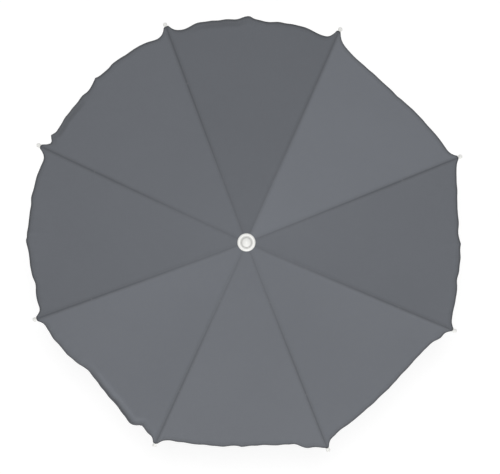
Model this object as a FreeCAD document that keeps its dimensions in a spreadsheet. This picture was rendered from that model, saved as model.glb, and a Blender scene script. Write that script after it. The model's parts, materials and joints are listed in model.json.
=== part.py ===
"""A folding pram parasol: eight cloth panels on a ribbed frame, a tilting pole and a tube clamp.

Millimetres, +Z up along the pole. The origin is the centre of the pram tube that the clamp grips,
and that tube lies along Y. The parasol is drawn open and upright.
"""
import FreeCAD, Part
import math
import os
import re
import Sketcher
from FreeCAD import Placement, Rotation, Vector

PANELS = 8
HALF_PANEL = 180 / PANELS
CLOTH_STEPS = 14

# Driving dimensions. Lengths are in millimetres and angles in degrees.
SIZES = {
    # ribs: curved channel strip, hung from an eye at the crown end
    "rib_end_radius": 364,
    "hinge_radius": 9,
    "rib_start_slope": 20,
    "rib_end_slope": 34,
    "rib_width": 3.2,
    "rib_depth": 3.4,
    "strip_wall": 0.5,
    "tang_length": 12,
    "tang_thickness": 1.2,
    "eye_radius": 1.9,
    "crimp_length": 3,
    # stretchers: straight channel strip, as long as the rib's reach to their joint
    "stretcher_length": 175,
    "stretcher_base": 2.2,
    "stretcher_lip": 1.3,
    "stretcher_end": 1.2,
    "fork_length": 8,
    "joint_drop": 0.5,
    "rivet_radius": 0.8,
    "rivet_head_radius": 1.35,
    "rivet_head": 0.6,
    "fold_angle": 57,
    # ring wires that thread the eyes
    "wire_radius": 0.6,
    # notch and runner crowns
    "crown_radius": 12.3,
    "crown_teeth": 4.5,
    "slot_reach": 2.2,
    "notch_plate": 1.2,
    "notch_neck": 4.5,
    "neck_radius": 8.2,
    "runner_sleeve": 30,
    "runner_grip": 4,
    "runner_grip_radius": 10.5,
    "runner_rest": 8,
    # cloth
    "cloth": 0.5,
    "crown_hole": 6.8,
    "crown_slope": 23.5,
    "panel_sag": 4,
    "hem_bulge_1": -1.5,
    "hem_bulge_2": 20,
    "hem_bulge_3": 19,
    "hem_bulge_4": 18,
    "hem_bulge_5": 2,
    "hem_bulge_6": 1,
    "hem_bulge_7": -2,
    "hem_bulge_8": 9,
    "bulge_droop": 20,
    # ball tips
    "tip_sleeve": 5.5,
    "tip_sleeve_radius": 2.9,
    "tip_ball_radius": 3.5,
    "tip_ball_offset": 0.7,
    # crown cap
    "cap_radius": 13.5,
    "cap_edge": 1.4,
    "cap_wall": 1.3,
    "cap_ring_radius": 11.5,
    "cap_ring_bend": 3.4,
    "cap_groove_radius": 9.9,
    "cap_groove_depth": 1.6,
    "cap_button_radius": 7.6,
    "cap_button_rise": 0.6,
    "cap_dome_radius": 8,
    "cap_stem": 14,
    # pole
    "pole_radius": 5,
    "pole_wall": 1,
    "lower_pole_show": 240,
    "seat_floor": 6,
    # runner catch in the upper pole
    "catch_width": 2.6,
    "catch_leaf": 0.7,
    "catch_tail": 12,
    "catch_nose": 10,
    "catch_reach": 3.2,
    "catch_tip": 2,
    "catch_eye": 0.6,
    # tilt knuckle
    "knuckle_radius": 13,
    "knuckle_sleeve": 26,
    "knuckle_sleeve_radius": 7.5,
    "tongue_thickness": 9,
    "cheek_thickness": 5.5,
    "fork_width": 16,
    "fork_base": 4.6,
    "neck_width": 13,
    "pin_radius": 2,
    "pin_head_radius": 4.5,
    "pin_head": 1.6,
    "button_radius": 6.6,
    "button_rise": 3.5,
    "button_travel": 3,
    "button_wall": 5,
    "spring_room": 4.5,
    "tongue_floor": 2,
    "spring_radius": 4.2,
    "spring_wire": 0.4,
    "spring_turns": 3,
    # clamp
    "tube_radius": 11,
    "pad_thickness": 2,
    "pad_angle": 55,
    "clamp_width": 30,
    "pad_margin": 1,
    "fixed_arm": 13,
    "arm_lip": 4,
    "bridge_clearance": 4,
    "bridge_thickness": 10,
    "jaw_thickness": 11,
    "jaw_open": 12,
    "screw_arm": 10,
    "screw_arm_drop": 13,
    "clamp_corner": 5,
    "socket_height": 31,
    "socket_radius": 9.5,
    "screw_radius": 4,
    "screw_foot_radius": 4.5,
    "screw_foot": 3.2,
    "jaw_recess": 7,
    "screw_show": 9,
    "knob_radius": 17,
    "knob_thickness": 14,
    "knob_scallop_radius": 7,
    "knob_scallop_bite": 3.5,
    "knob_edge": 2,
    # clearances
    "seat_gap": 0.05,
    "turn_gap": 0.06,
    "slide_gap": 0.3,
    "cloth_gap": 0.3,
}

# Sizes that follow from the driving ones.
FORMULAS = {
    "rib_bend": "(rib_end_radius - hinge_radius) / (sin(rib_end_slope) - sin(rib_start_slope))",
    "joint_slope": "rib_start_slope + asin(stretcher_length / (2 * rib_bend)) / 1 deg"
                   " + joint_drop / stretcher_length * 180 / pi",
    "runner_fall": "2 * stretcher_length * sin(joint_slope)",
    "closed_fall": "2 * stretcher_length * sin(joint_slope + fold_angle)",
    "fork_inside": "rib_width / 2 + slide_gap",
    "fork_outside": "rib_width / 2 + slide_gap + strip_wall",
    "slot_width": "tang_thickness + 2 * slide_gap",
    "slot_floor": "hinge_radius - eye_radius - slide_gap",
    "groove_half": "wire_radius + seat_gap",
    "groove_floor": "hinge_radius - wire_radius - seat_gap",
    "notch_top": "slot_reach + notch_plate",
    "notch_rim": "notch_top - (crown_radius - neck_radius) * tan(crown_slope)",
    "runner_below": "crown_teeth + runner_sleeve + runner_grip",
    "panel_fall": f"crown_radius * tan(crown_slope) * (1 / cos({HALF_PANEL}) - 1)",
    "crown_cloth": "notch_top + 2 * cloth_gap + panel_fall + (neck_radius - crown_hole) * tan(crown_slope)",
    "cap_seat": "crown_cloth + (crown_hole - pole_radius) * tan(crown_slope) + cloth / cos(crown_slope)"
                " + cloth_gap",
    "pole_bore": "pole_radius - pole_wall",
    "knuckle_neck": "knuckle_radius + 1",
    "knuckle_arm": "knuckle_neck + knuckle_sleeve",
    "pole_seat": "knuckle_neck + seat_floor",
    "seat_radius": "tube_radius + pad_thickness + seat_gap",
    "bridge_under": "tube_radius + pad_thickness + bridge_clearance",
    "bridge_top": "bridge_under + bridge_thickness",
    "socket_floor": "bridge_under + 0.5 * bridge_thickness",
    "socket_top": "bridge_top + socket_height",
    "knuckle_height": "socket_top + lower_pole_show + knuckle_arm",
    "notch_height": "knuckle_height + knuckle_arm + runner_rest + runner_below + closed_fall",
    "runner_height": "notch_height - runner_fall",
    "catch_length": "catch_tail + catch_nose + catch_tip",
    "catch_height": "runner_height - runner_below - slide_gap - catch_tail - catch_nose",
    "catch_back": "pole_bore - catch_leaf - 2 * slide_gap",
    "tongue_half": "tongue_thickness / 2",
    "cheek_inside": "tongue_half + slide_gap",
    "cheek_outside": "cheek_inside + cheek_thickness",
    "button_bore": "button_radius + slide_gap",
    "spring_floor": "tongue_floor - tongue_half",
    "button_inner": "spring_floor + spring_room",
    "button_outer": "cheek_outside + button_rise",
    "pin_reach": "button_outer - button_wall - button_travel - slide_gap",
    "jaw_back": "seat_radius + jaw_thickness",
    "arm_inside": "jaw_back + jaw_open + 2 * slide_gap",
    "arm_outside": "arm_inside + screw_arm",
    "screw_start": "jaw_back - jaw_recess + slide_gap",
    "knob_start": "arm_outside + screw_show",
}

doc = FreeCAD.newDocument("pram_parasol")
sheet = doc.addObject("Spreadsheet::Sheet", "Sizes")
for row, (word, value) in enumerate(SIZES.items(), start=1):
    sheet.set(f"A{row}", word)
    sheet.set(f"B{row}", str(value))
    sheet.setAlias(f"B{row}", word)
doc.recompute()


def bind(formula):
    """Turn a formula in plain words into an expression on the sheet."""
    def swap(match):
        word = match.group(0)
        if word in FORMULAS:
            return "(" + bind(FORMULAS[word]) + ")"
        return "Sizes." + word if word in SIZES else word
    return re.sub(r"[a-z][a-z0-9_]*", swap, formula)


def size(formula):
    """The present value of a formula in plain words."""
    return float(sheet.evalExpression(bind(formula)))


# Drawing helpers

def new_body(label):
    body = doc.addObject("PartDesign::Body", label)
    body.Label = label
    return body


def new_sketch(body, plane, offset=None):
    """A sketch on one of the body's own planes, moved along the plane's normal by a formula."""
    sketch = body.newObject("Sketcher::SketchObject", body.Name + "_sketch")
    support = next(item for item in body.Origin.OriginFeatures if item.Role == plane + "_Plane")
    sketch.AttachmentSupport = (support, "")
    sketch.MapMode = "FlatFace"
    if offset:
        sketch.setExpression("AttachmentOffset.Base.z", bind(offset))
    return sketch


def fix_point(sketch, edge, end, x, y):
    """Hold one point of a sketch edge at formulas x and y from the sketch's origin."""
    for kind, formula, axis in (("DistanceX", x, -2), ("DistanceY", y, -1)):
        if formula == "0":
            sketch.addConstraint(Sketcher.Constraint("PointOnObject", edge, end, axis))
        else:
            rule = Sketcher.Constraint(kind, -1, 1, edge, end, size(formula))
            index = sketch.addConstraint(rule)
            sketch.setExpression(f"Constraints[{index}]", bind(formula))


def draw_outline(sketch, corners):
    """A closed outline. A corner is (x, y), or (x, y, radius) where an arc leads to the next corner.

    A positive radius turns left on the way, a negative one turns right.
    """
    spots = [Vector(size(corner[0]), size(corner[1]), 0) for corner in corners]
    ends = []
    for index, corner in enumerate(corners):
        start = spots[index]
        stop = spots[(index + 1) % len(spots)]
        if len(corner) == 2:
            edge = sketch.addGeometry(Part.LineSegment(start, stop), False)
            ends.append((edge, 1, 2))
            continue
        radius = size(corner[2])
        chord = stop - start
        right = Vector(chord.y, -chord.x, 0).normalize() * math.copysign(1, radius)
        rise = abs(radius) - math.sqrt(radius ** 2 - chord.Length ** 2 / 4)
        middle = (start + stop) * 0.5 + right * rise
        edge = sketch.addGeometry(Part.Arc(start, middle, stop), False)
        ends.append((edge, 1, 2) if radius > 0 else (edge, 2, 1))
        rule = Sketcher.Constraint("Radius", edge, abs(radius))
        sketch.setExpression(f"Constraints[{sketch.addConstraint(rule)}]", bind(f"abs({corner[2]})"))
    for index, corner in enumerate(corners):
        edge, first, _ = ends[index]
        before, _, last = ends[index - 1]
        sketch.addConstraint(Sketcher.Constraint("Coincident", before, last, edge, first))
        fix_point(sketch, edge, first, corner[0], corner[1])


def draw_circle(sketch, x, y, radius):
    centre = Vector(size(x), size(y), 0)
    edge = sketch.addGeometry(Part.Circle(centre, Vector(0, 0, 1), size(radius)), False)
    fix_point(sketch, edge, 3, x, y)
    rule = Sketcher.Constraint("Radius", edge, size(radius))
    sketch.setExpression(f"Constraints[{sketch.addConstraint(rule)}]", bind(radius))


def box_corners(x0, x1, y0, y1):
    return [(x0, y0), (x1, y0), (x1, y1), (x0, y1)]


def extrude(body, sketch, length, cut=False, both_ways=True):
    """Pad or pocket a sketch, by default half to each side of its plane."""
    feature = body.newObject("PartDesign::Pocket" if cut else "PartDesign::Pad", body.Name + "_step")
    feature.Profile = sketch
    feature.SideType = "Symmetric" if both_ways else "One side"
    feature.setExpression("Length", bind(length))
    return feature


def spin(body, sketch, axis="V_Axis", cut=False):
    """Turn a sketch once round one of its own axes, to add or to cut."""
    feature = body.newObject("PartDesign::Groove" if cut else "PartDesign::Revolution", body.Name + "_turn")
    feature.Profile = sketch
    feature.ReferenceAxis = (sketch, [axis])
    feature.Angle = 360
    return feature


def repeat_round(body, feature, count):
    """Repeat a feature evenly round the body's Z axis."""
    axis = next(item for item in body.Origin.OriginFeatures if item.Role == "Z_Axis")
    pattern = body.newObject("PartDesign::PolarPattern", body.Name + "_ring")
    pattern.Originals = [feature]
    pattern.Axis = (axis, [""])
    pattern.Angle = 360
    pattern.Occurrences = count
    body.Tip = pattern
    return pattern


def pad_outline(body, plane, corners, length, cut=False, offset=None, both_ways=True):
    sketch = new_sketch(body, plane, offset)
    draw_outline(sketch, corners)
    return extrude(body, sketch, length, cut, both_ways)


def pad_circle(body, plane, x, y, radius, length, cut=False, offset=None, both_ways=True):
    sketch = new_sketch(body, plane, offset)
    draw_circle(sketch, x, y, radius)
    return extrude(body, sketch, length, cut, both_ways)


def spin_outline(body, corners, plane="XZ", axis="V_Axis", cut=False):
    sketch = new_sketch(body, plane)
    draw_outline(sketch, corners)
    return spin(body, sketch, axis, cut)


def spoke_angle(number):
    """Direction of rib number 1 to 8 round the pole, counter-clockwise from +X."""
    return HALF_PANEL + (number - 1) * 2 * HALF_PANEL


def on_spoke(number, radius, height, pitch=0):
    """Placement on a rib's plane: local X points outward, then drops by pitch degrees."""
    around = Rotation(Vector(0, 0, 1), spoke_angle(number))
    down = Rotation(Vector(0, 1, 0), pitch)
    return Placement(around.multVec(Vector(radius, 0, height)), around * down)


TO_Y = Rotation(Vector(1, 0, 0), -90)
TO_X = Rotation(Vector(0, 1, 0), 90)


# Canopy frame

def rib_point(slope, lift):
    """Point of the rib's arc where it has this slope, lifted square to the arc, from the rib's eye."""
    x = f"(rib_bend + {lift}) * sin({slope}) - rib_bend * sin(rib_start_slope)"
    z = f"(rib_bend + {lift}) * cos({slope}) - rib_bend * cos(rib_start_slope)"
    return x, z


def rib_slope(run):
    """The rib's slope after this run along its arc from the eye."""
    return f"(rib_start_slope + ({run}) / rib_bend * 180 / pi)"


def rib_band(start, stop, low, high):
    """Outline of a stretch of the rib between two slopes and two lifts."""
    return [
        rib_point(start, low) + (f"-(rib_bend + {low})",),
        rib_point(stop, low),
        rib_point(stop, high) + (f"rib_bend + {high}",),
        rib_point(start, high),
    ]


def make_rib(number):
    body = new_body(f"rib_{number}")
    half = "rib_depth / 2"
    start = rib_slope("tang_length")
    inside = rib_slope("tang_length + crimp_length")
    overlap = rib_slope("tang_length + crimp_length / 2")
    near_end = "(rib_end_slope - (tip_sleeve + crimp_length) / rib_bend * 180 / pi)"
    pad_outline(body, "XZ", rib_band(start, "rib_end_slope", f"(-{half})", half), "rib_width")
    channel = rib_band(inside, near_end, "(-rib_depth)", f"({half} - strip_wall)")
    pad_outline(body, "XZ", channel, "rib_width - 2 * strip_wall", cut=True)
    tang = rib_band("rib_start_slope", overlap, f"(-{half})", half)
    pad_outline(body, "XZ", tang, "tang_thickness")
    pad_circle(body, "XZ", "0", "0", "eye_radius", "tang_thickness")
    pad_circle(body, "XZ", "0", "0", "wire_radius + turn_gap", "2 * rib_width", cut=True)
    joint_x = "stretcher_length * cos(joint_slope)"
    joint_z = "-stretcher_length * sin(joint_slope)"
    pad_circle(body, "XZ", joint_x, joint_z, "rivet_radius + turn_gap", "2 * rib_width", cut=True)
    body.Placement = on_spoke(number, size("hinge_radius"), size("notch_height"))
    return body


def make_tip(number):
    body = new_body(f"tip_{number}")
    bore = "(sqrt(rib_width ^ 2 + rib_depth ^ 2) / 2 + seat_gap)"
    wall = "max(tip_sleeve_radius; " + bore + " + strip_wall)"
    ball = "max(tip_ball_radius; " + wall + " + seat_gap)"
    centre = "(tip_sleeve + tip_ball_offset)"
    meet = f"{centre} - sqrt({ball} ^ 2 - {wall} ^ 2)"
    spin_outline(body, [
        (bore, "0"),
        (wall, "0"),
        (wall, meet, ball),
        ("0", f"{centre} + {ball}"),
        ("0", "tip_sleeve + seat_gap"),
        (bore, "tip_sleeve + seat_gap"),
    ])
    start = "(rib_end_slope - tip_sleeve / rib_bend * 180 / pi)"
    x, z = rib_point(start, "0")
    radius = size("hinge_radius") + size(x)
    slope = size("(rib_end_slope - tip_sleeve / rib_bend * 90 / pi)")
    body.Placement = on_spoke(number, radius, size("notch_height") + size(z), slope + 90)
    return body


def make_stretcher(number):
    body = new_body(f"stretcher_{number}")
    top = "stretcher_base + strip_wall"
    channel = [
        ("-(fork_outside)", "-stretcher_lip"),
        ("-(fork_inside)", "-stretcher_lip"),
        ("-(fork_inside)", "stretcher_base"),
        ("fork_inside", "stretcher_base"),
        ("fork_inside", "-stretcher_lip"),
        ("fork_outside", "-stretcher_lip"),
        ("fork_outside", top),
        ("-(fork_outside)", top),
    ]
    length = "stretcher_length + stretcher_end - tang_length"
    pad_outline(body, "YZ", channel, length, offset="tang_length", both_ways=False)
    crimp = box_corners("-(fork_outside)", "fork_outside", "-stretcher_lip", top)
    pad_outline(body, "YZ", crimp, "crimp_length", offset="tang_length", both_ways=False)
    fork = box_corners("stretcher_length - fork_length", "2 * stretcher_length", "stretcher_lip", f"2 * ({top})")
    pad_outline(body, "XZ", fork, "4 * rib_width", cut=True)
    tang = box_corners("0", "tang_length + crimp_length / 2", "-stretcher_lip", "stretcher_lip")
    pad_outline(body, "XZ", tang, "tang_thickness")
    pad_circle(body, "XZ", "0", "0", "eye_radius", "tang_thickness")
    pad_circle(body, "XZ", "0", "0", "wire_radius + turn_gap", "4 * rib_width", cut=True)
    pad_circle(body, "XZ", "stretcher_length", "0", "rivet_radius + seat_gap / 2", "4 * rib_width", cut=True)
    body.Placement = on_spoke(number, size("hinge_radius"), size("runner_height"), -size("joint_slope"))
    return body


def make_rivet(number):
    body = new_body(f"rivet_{number}")
    outside = "fork_outside"
    top = "fork_outside + rivet_head"
    spin_outline(body, [
        ("0", f"-({top})"),
        ("rivet_head_radius", f"-({top})"),
        ("rivet_head_radius", f"-({outside})"),
        ("rivet_radius", f"-({outside})"),
        ("rivet_radius", outside),
        ("rivet_head_radius", outside),
        ("rivet_head_radius", top),
        ("0", top),
    ])
    radius = size("hinge_radius + stretcher_length * cos(joint_slope)")
    height = size("notch_height - stretcher_length * sin(joint_slope)")
    spot = on_spoke(number, radius, height)
    body.Placement = Placement(spot.Base, spot.Rotation * TO_Y)
    return body


def make_wire(label, height):
    ring = doc.addObject("Part::Torus", label)
    ring.Label = label
    ring.setExpression("Radius1", bind("hinge_radius"))
    ring.setExpression("Radius2", bind("wire_radius"))
    ring.Placement = Placement(Vector(0, 0, size(height)), Rotation())
    return ring


def cut_crown_slots(body, low, high):
    """Eight radial slots for the strip eyes, between two heights."""
    sketch = new_sketch(body, "XZ")
    draw_outline(sketch, box_corners("slot_floor", "2 * crown_radius", low, high))
    slot = extrude(body, sketch, "slot_width", cut=True)
    pattern = repeat_round(body, slot, PANELS)
    body.Placement.Rotation = Rotation(Vector(0, 0, 1), HALF_PANEL)
    return pattern


def make_notch():
    body = new_body("notch")
    bore = "pole_radius + seat_gap"
    bottom = "-(crown_teeth + notch_neck)"
    spin_outline(body, [
        (bore, bottom),
        ("neck_radius", bottom),
        ("neck_radius", "-crown_teeth"),
        ("crown_radius", "-crown_teeth"),
        ("crown_radius", "-(groove_half)"),
        ("groove_floor", "-(groove_half)"),
        ("groove_floor", "groove_half"),
        ("crown_radius", "groove_half"),
        ("crown_radius", "notch_rim"),
        ("neck_radius", "notch_top"),
        (bore, "notch_top"),
    ])
    cut_crown_slots(body, "-2 * (crown_teeth + notch_neck)", "slot_reach")
    body.Placement.Base = Vector(0, 0, size("notch_height"))
    return body


def make_runner():
    body = new_body("runner")
    bore = "pole_radius + slide_gap"
    grip_top = "-(crown_teeth + runner_sleeve)"
    bottom = "-(runner_below)"
    bevel = "runner_grip / 4"
    spin_outline(body, [
        (bore, bottom),
        (f"runner_grip_radius - {bevel}", bottom),
        ("runner_grip_radius", f"{bottom} + {bevel}"),
        ("runner_grip_radius", f"{grip_top} - {bevel}"),
        (f"runner_grip_radius - {bevel}", grip_top),
        ("neck_radius", grip_top),
        ("neck_radius", "-crown_teeth"),
        ("crown_radius", "-crown_teeth"),
        ("crown_radius", "-(groove_half)"),
        ("groove_floor", "-(groove_half)"),
        ("groove_floor", "groove_half"),
        ("crown_radius", "groove_half"),
        ("crown_radius", "crown_teeth"),
        (bore, "crown_teeth"),
    ])
    cut_crown_slots(body, "-slot_reach", "2 * crown_teeth")
    body.Placement.Base = Vector(0, 0, size("runner_height"))
    return body


def make_top_cap():
    """Cap with a rounded outer ring, a groove and a domed button, on a stem that plugs the pole."""
    body = new_body("top_cap")
    stem = "(pole_bore - seat_gap)"
    rim = "(cap_seat - (cap_radius - pole_radius) * tan(crown_slope))"
    floor = "(cap_seat - (cap_groove_radius - pole_radius) * tan(crown_slope) + cap_wall)"
    ring = f"({floor} + cap_groove_depth)"
    shoulder = f"({floor} + cap_button_rise)"
    crown = "cap_dome_radius - sqrt(cap_dome_radius ^ 2 - cap_button_radius ^ 2)"
    spin_outline(body, [
        ("0", "cap_seat - cap_stem"),
        (stem, "cap_seat - cap_stem"),
        (stem, "cap_seat"),
        ("pole_radius", "cap_seat"),
        ("cap_radius", rim),
        ("cap_radius", f"{rim} + cap_edge", "cap_ring_bend"),
        ("cap_ring_radius", ring),
        ("cap_groove_radius", ring),
        ("cap_groove_radius", floor),
        ("cap_button_radius", floor),
        ("cap_button_radius", shoulder, "cap_dome_radius"),
        ("0", f"{shoulder} + {crown}"),
    ])
    body.Placement.Base = Vector(0, 0, size("notch_height"))
    return body


# Canopy cloth

def make_gore(number):
    """One cloth panel between two ribs: a thin loft from the crown hole to the hem.

    Every section crosses the panel from seam to seam. Its middle dips a little between the ribs, as
    stretched cloth does, and near the hem it swings out by that panel's own bulge.
    """
    half = math.radians(HALF_PANEL)
    cloth = size("cloth")
    sag = size("panel_sag")
    bulge = size(f"hem_bulge_{number}")
    droop = math.radians(size("bulge_droop"))
    seam = size("cloth_gap") / 2
    hinge = size("hinge_radius")
    start = size("rib_start_slope")
    hem = size("rib_end_slope - (tip_sleeve + cloth_gap) / rib_bend * 180 / pi")

    # Each station has the seam's radius and height, its slope and its share of the way to the hem. The
    # cloth rides clear of the rib's edges, where the panel already falls away from the seam.
    sag_share = sag / (size("rib_end_radius") / 2 * math.sin(half))
    first_run = size("crown_hole - hinge_radius")
    hem_run = math.radians(hem - start) * size("rib_bend")
    stations = [(size("crown_hole"), size("crown_cloth"), math.radians(size("crown_slope")), 0)]
    for step in range(1, CLOTH_STEPS + 1):
        share = step / CLOTH_STEPS
        slope = math.radians(start) + (first_run + (hem_run - first_run) * share) / size("rib_bend")
        fall = math.tan(half) * math.sin(slope) + 2 * sag_share * math.sin(math.pi * share)
        lift = size("rib_depth / 2 + cloth_gap") + fall * size("rib_width") / 2
        x, z = rib_point(str(math.degrees(slope)), str(lift))
        stations.append((hinge + size(x), size(z), slope, share))

    sections = []
    for radius, height, slope, share in stations:
        reach = radius * math.sin(half) - seam
        up = Vector(math.sin(slope), 0, math.cos(slope))
        dip = up * (-reach * (sag_share * math.sin(math.pi * share) + 0.005 * (1 - share)))
        swing = Vector(math.cos(droop), 0, -math.sin(droop)) * (bulge * share ** 4)
        left = Vector(radius * math.cos(half), reach, height)
        right = Vector(radius * math.cos(half), -reach, height)
        middle = (left + right) * 0.5 + dip + swing
        sections.append(Part.Wire([Part.Arc(left, middle, right).toShape()]))
    underside = Part.makeLoft(sections, False)

    panel = doc.addObject("Part::Feature", f"gore_{number}")
    panel.Label = f"gore_{number}"
    panel.Shape = underside.makeOffsetShape(size("cloth"), 0.01, fill=True)
    around = Rotation(Vector(0, 0, 1), spoke_angle(number) + HALF_PANEL)
    panel.Placement = Placement(Vector(0, 0, size("notch_height")), around)
    return panel


# Pole and catch

def make_tube(label, length, height):
    body = new_body(label)
    sketch = new_sketch(body, "XY")
    draw_circle(sketch, "0", "0", "pole_radius")
    draw_circle(sketch, "0", "0", "pole_bore")
    extrude(body, sketch, length, both_ways=False)
    body.Placement.Base = Vector(0, 0, size(height))
    return body


def make_upper_pole():
    foot = "(knuckle_height + pole_seat)"
    body = make_tube("upper_pole", f"notch_height + notch_top - {foot}", foot)
    window_low = f"catch_height + catch_tail - {foot} - 1"
    window_high = f"catch_height + catch_tail + catch_nose - {foot} + catch_tip / 2"
    window = box_corners("0", "2 * pole_radius", window_low, window_high)
    pad_outline(body, "XZ", window, "catch_width + 2 * slide_gap", cut=True)
    return body


def make_runner_catch():
    """A leaf inside the pole, on a rolled eye, with a ramped nose that stands out under the open runner."""
    body = new_body("runner_catch")
    front = "catch_back + catch_leaf"
    reach = "pole_radius + catch_reach"
    nose_top = "catch_tail + catch_nose"
    pad_outline(body, "XZ", [
        ("catch_back", "0"),
        (front, "0"),
        (front, "catch_tail"),
        (reach, f"{nose_top} - catch_tip"),
        (reach, nose_top),
        (front, nose_top),
        (front, "catch_length"),
        ("catch_back", "catch_length"),
    ], "catch_width")
    pad_circle(body, "XZ", "catch_back + catch_leaf / 2", "0", "catch_eye", "catch_width")
    body.Placement.Base = Vector(0, 0, size("catch_height"))
    return body


# Tilt knuckle

def make_knuckle_upper():
    """Sleeve for the upper pole over a round tongue that turns in the fork."""
    body = new_body("knuckle_upper")
    bore = "pole_radius + seat_gap"
    spin_outline(body, [
        ("0", "knuckle_neck"),
        ("knuckle_sleeve_radius", "knuckle_neck"),
        ("knuckle_sleeve_radius", "knuckle_arm - 1"),
        ("knuckle_sleeve_radius - 1", "knuckle_arm"),
        (bore, "knuckle_arm"),
        (bore, "pole_seat"),
        ("0", "pole_seat"),
    ])
    neck = box_corners("-neck_width / 2", "neck_width / 2", "0", "knuckle_neck + 1")
    pad_outline(body, "XZ", neck, "tongue_thickness")
    pad_circle(body, "XZ", "0", "0", "knuckle_radius - slide_gap", "tongue_thickness")
    spin_outline(body, [
        ("-tongue_thickness", "0"),
        ("tongue_thickness", "0"),
        ("tongue_thickness", "button_bore"),
        ("spring_floor", "button_bore"),
        ("spring_floor", "pin_radius + turn_gap"),
        ("-tongue_thickness", "pin_radius + turn_gap"),
    ], "YZ", "H_Axis", cut=True)
    body.Placement.Base = Vector(0, 0, size("knuckle_height"))
    return body


def make_knuckle_lower():
    """Fork with two round cheeks, over a sleeve for the lower pole."""
    body = new_body("knuckle_lower")
    bore = "pole_radius + seat_gap"
    spin_outline(body, [
        ("0", "-(knuckle_neck)"),
        ("0", "-(pole_seat)"),
        (bore, "-(pole_seat)"),
        (bore, "-(knuckle_arm)"),
        ("knuckle_sleeve_radius - 1", "-(knuckle_arm)"),
        ("knuckle_sleeve_radius", "-(knuckle_arm) + 1"),
        ("knuckle_sleeve_radius", "-(knuckle_neck)"),
    ])
    base = "-(knuckle_radius + slide_gap + fork_base)"
    floor = "-(knuckle_radius + slide_gap)"
    pad_outline(body, "YZ", [
        ("-(cheek_outside)", base),
        ("cheek_outside", base),
        ("cheek_outside", "0"),
        ("cheek_inside", "0"),
        ("cheek_inside", floor),
        ("-(cheek_inside)", floor),
        ("-(cheek_inside)", "0"),
        ("-(cheek_outside)", "0"),
    ], "fork_width")
    cheeks = new_sketch(body, "YZ")
    draw_outline(cheeks, box_corners("cheek_inside", "cheek_outside", "0", "knuckle_radius"))
    draw_outline(cheeks, box_corners("-(cheek_outside)", "-(cheek_inside)", "0", "knuckle_radius"))
    spin(body, cheeks, "H_Axis")
    spin_outline(body, box_corners("0", "2 * cheek_outside", "0", "button_bore"), "YZ", "H_Axis", cut=True)
    pin_hole = box_corners("-2 * cheek_outside", "0", "0", "pin_radius + seat_gap")
    spin_outline(body, pin_hole, "YZ", "H_Axis", cut=True)
    body.Placement.Base = Vector(0, 0, size("knuckle_height"))
    return body


def make_knuckle_pin():
    body = new_body("knuckle_pin")
    face = "-(cheek_outside)"
    spin_outline(body, [
        ("0", f"{face} - pin_head"),
        ("pin_head_radius - pin_head / 2", f"{face} - pin_head"),
        ("pin_head_radius", f"{face} - pin_head / 2"),
        ("pin_head_radius", face),
        ("pin_radius", face),
        ("pin_radius", "pin_reach"),
        ("0", "pin_reach"),
    ])
    body.Placement = Placement(Vector(0, 0, size("knuckle_height")), TO_Y)
    return body


def make_tilt_button():
    body = new_body("tilt_button")
    hole = "pin_radius + slide_gap"
    hole_end = "button_outer - button_wall"
    spin_outline(body, [
        (hole, "button_inner"),
        ("button_radius", "button_inner"),
        ("button_radius", "button_outer - 1"),
        ("button_radius - 1", "button_outer"),
        ("0", "button_outer"),
        ("0", hole_end),
        (hole, hole_end),
    ])
    body.Placement = Placement(Vector(0, 0, size("knuckle_height")), TO_Y)
    return body


def make_button_spring():
    """Coil between the tongue's floor and the button, on arcs of a quarter turn each."""
    radius = size("spring_radius")
    wire = size("spring_wire")
    steps = round(4 * size("spring_turns"))
    low = size("spring_floor + seat_gap") + wire
    rise = (size("spring_room - 2 * seat_gap") - 2 * wire) / steps

    def coil_point(step):
        turn = step * math.pi / 2
        return Vector(radius * math.cos(turn), radius * math.sin(turn), low + rise * step)

    edges = []
    for step in range(steps):
        arc = Part.Arc(coil_point(step), coil_point(step + 0.5), coil_point(step + 1))
        edges.append(arc.toShape())
    path = Part.Wire(edges)
    section = Part.Wire([Part.makeCircle(wire, coil_point(0), Vector(0, 1, 0))])
    spring = doc.addObject("Part::Feature", "button_spring")
    spring.Label = "button_spring"
    spring.Shape = path.makePipeShell([section], True, False)
    spring.Placement = Placement(Vector(0, 0, size("knuckle_height")), TO_Y)
    return spring


# Clamp

def make_clamp_body():
    """C-shaped bracket that opens downward, with the pole's socket on top."""
    body = new_body("clamp_body")
    left = "-(seat_radius + fixed_arm)"
    lip_x = "-seat_radius * cos(pad_angle + 2)"
    lip_z = "seat_radius * sin(pad_angle + 2)"
    foot = f"-({lip_z} + arm_lip)"
    drop = "-screw_arm_drop"
    pad_outline(body, "XZ", [
        (left, f"{foot} + clamp_corner", "clamp_corner"),
        (f"{left} + clamp_corner", foot),
        (lip_x, foot),
        (lip_x, f"-({lip_z})", "-(seat_radius)"),
        (lip_x, lip_z),
        (lip_x, "bridge_under"),
        ("arm_inside", "bridge_under"),
        ("arm_inside", drop),
        ("arm_outside - clamp_corner", drop, "clamp_corner"),
        ("arm_outside", f"{drop} + clamp_corner"),
        ("arm_outside", "bridge_top - clamp_corner", "clamp_corner"),
        ("arm_outside - clamp_corner", "bridge_top"),
        (f"{left} + clamp_corner", "bridge_top", "clamp_corner"),
        (left, "bridge_top - clamp_corner"),
    ], "clamp_width")
    spin_outline(body, [
        ("0", "socket_floor"),
        ("socket_radius", "socket_floor"),
        ("socket_radius", "socket_top - 1"),
        ("socket_radius - 1", "socket_top"),
        ("0", "socket_top"),
    ])
    socket = box_corners("0", "pole_radius + seat_gap", "socket_floor", "2 * socket_top")
    spin_outline(body, socket, cut=True)
    hole = box_corners("arm_inside - 1", "arm_outside + 1", "0", "screw_radius + slide_gap")
    spin_outline(body, hole, axis="H_Axis", cut=True)
    return body


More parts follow.
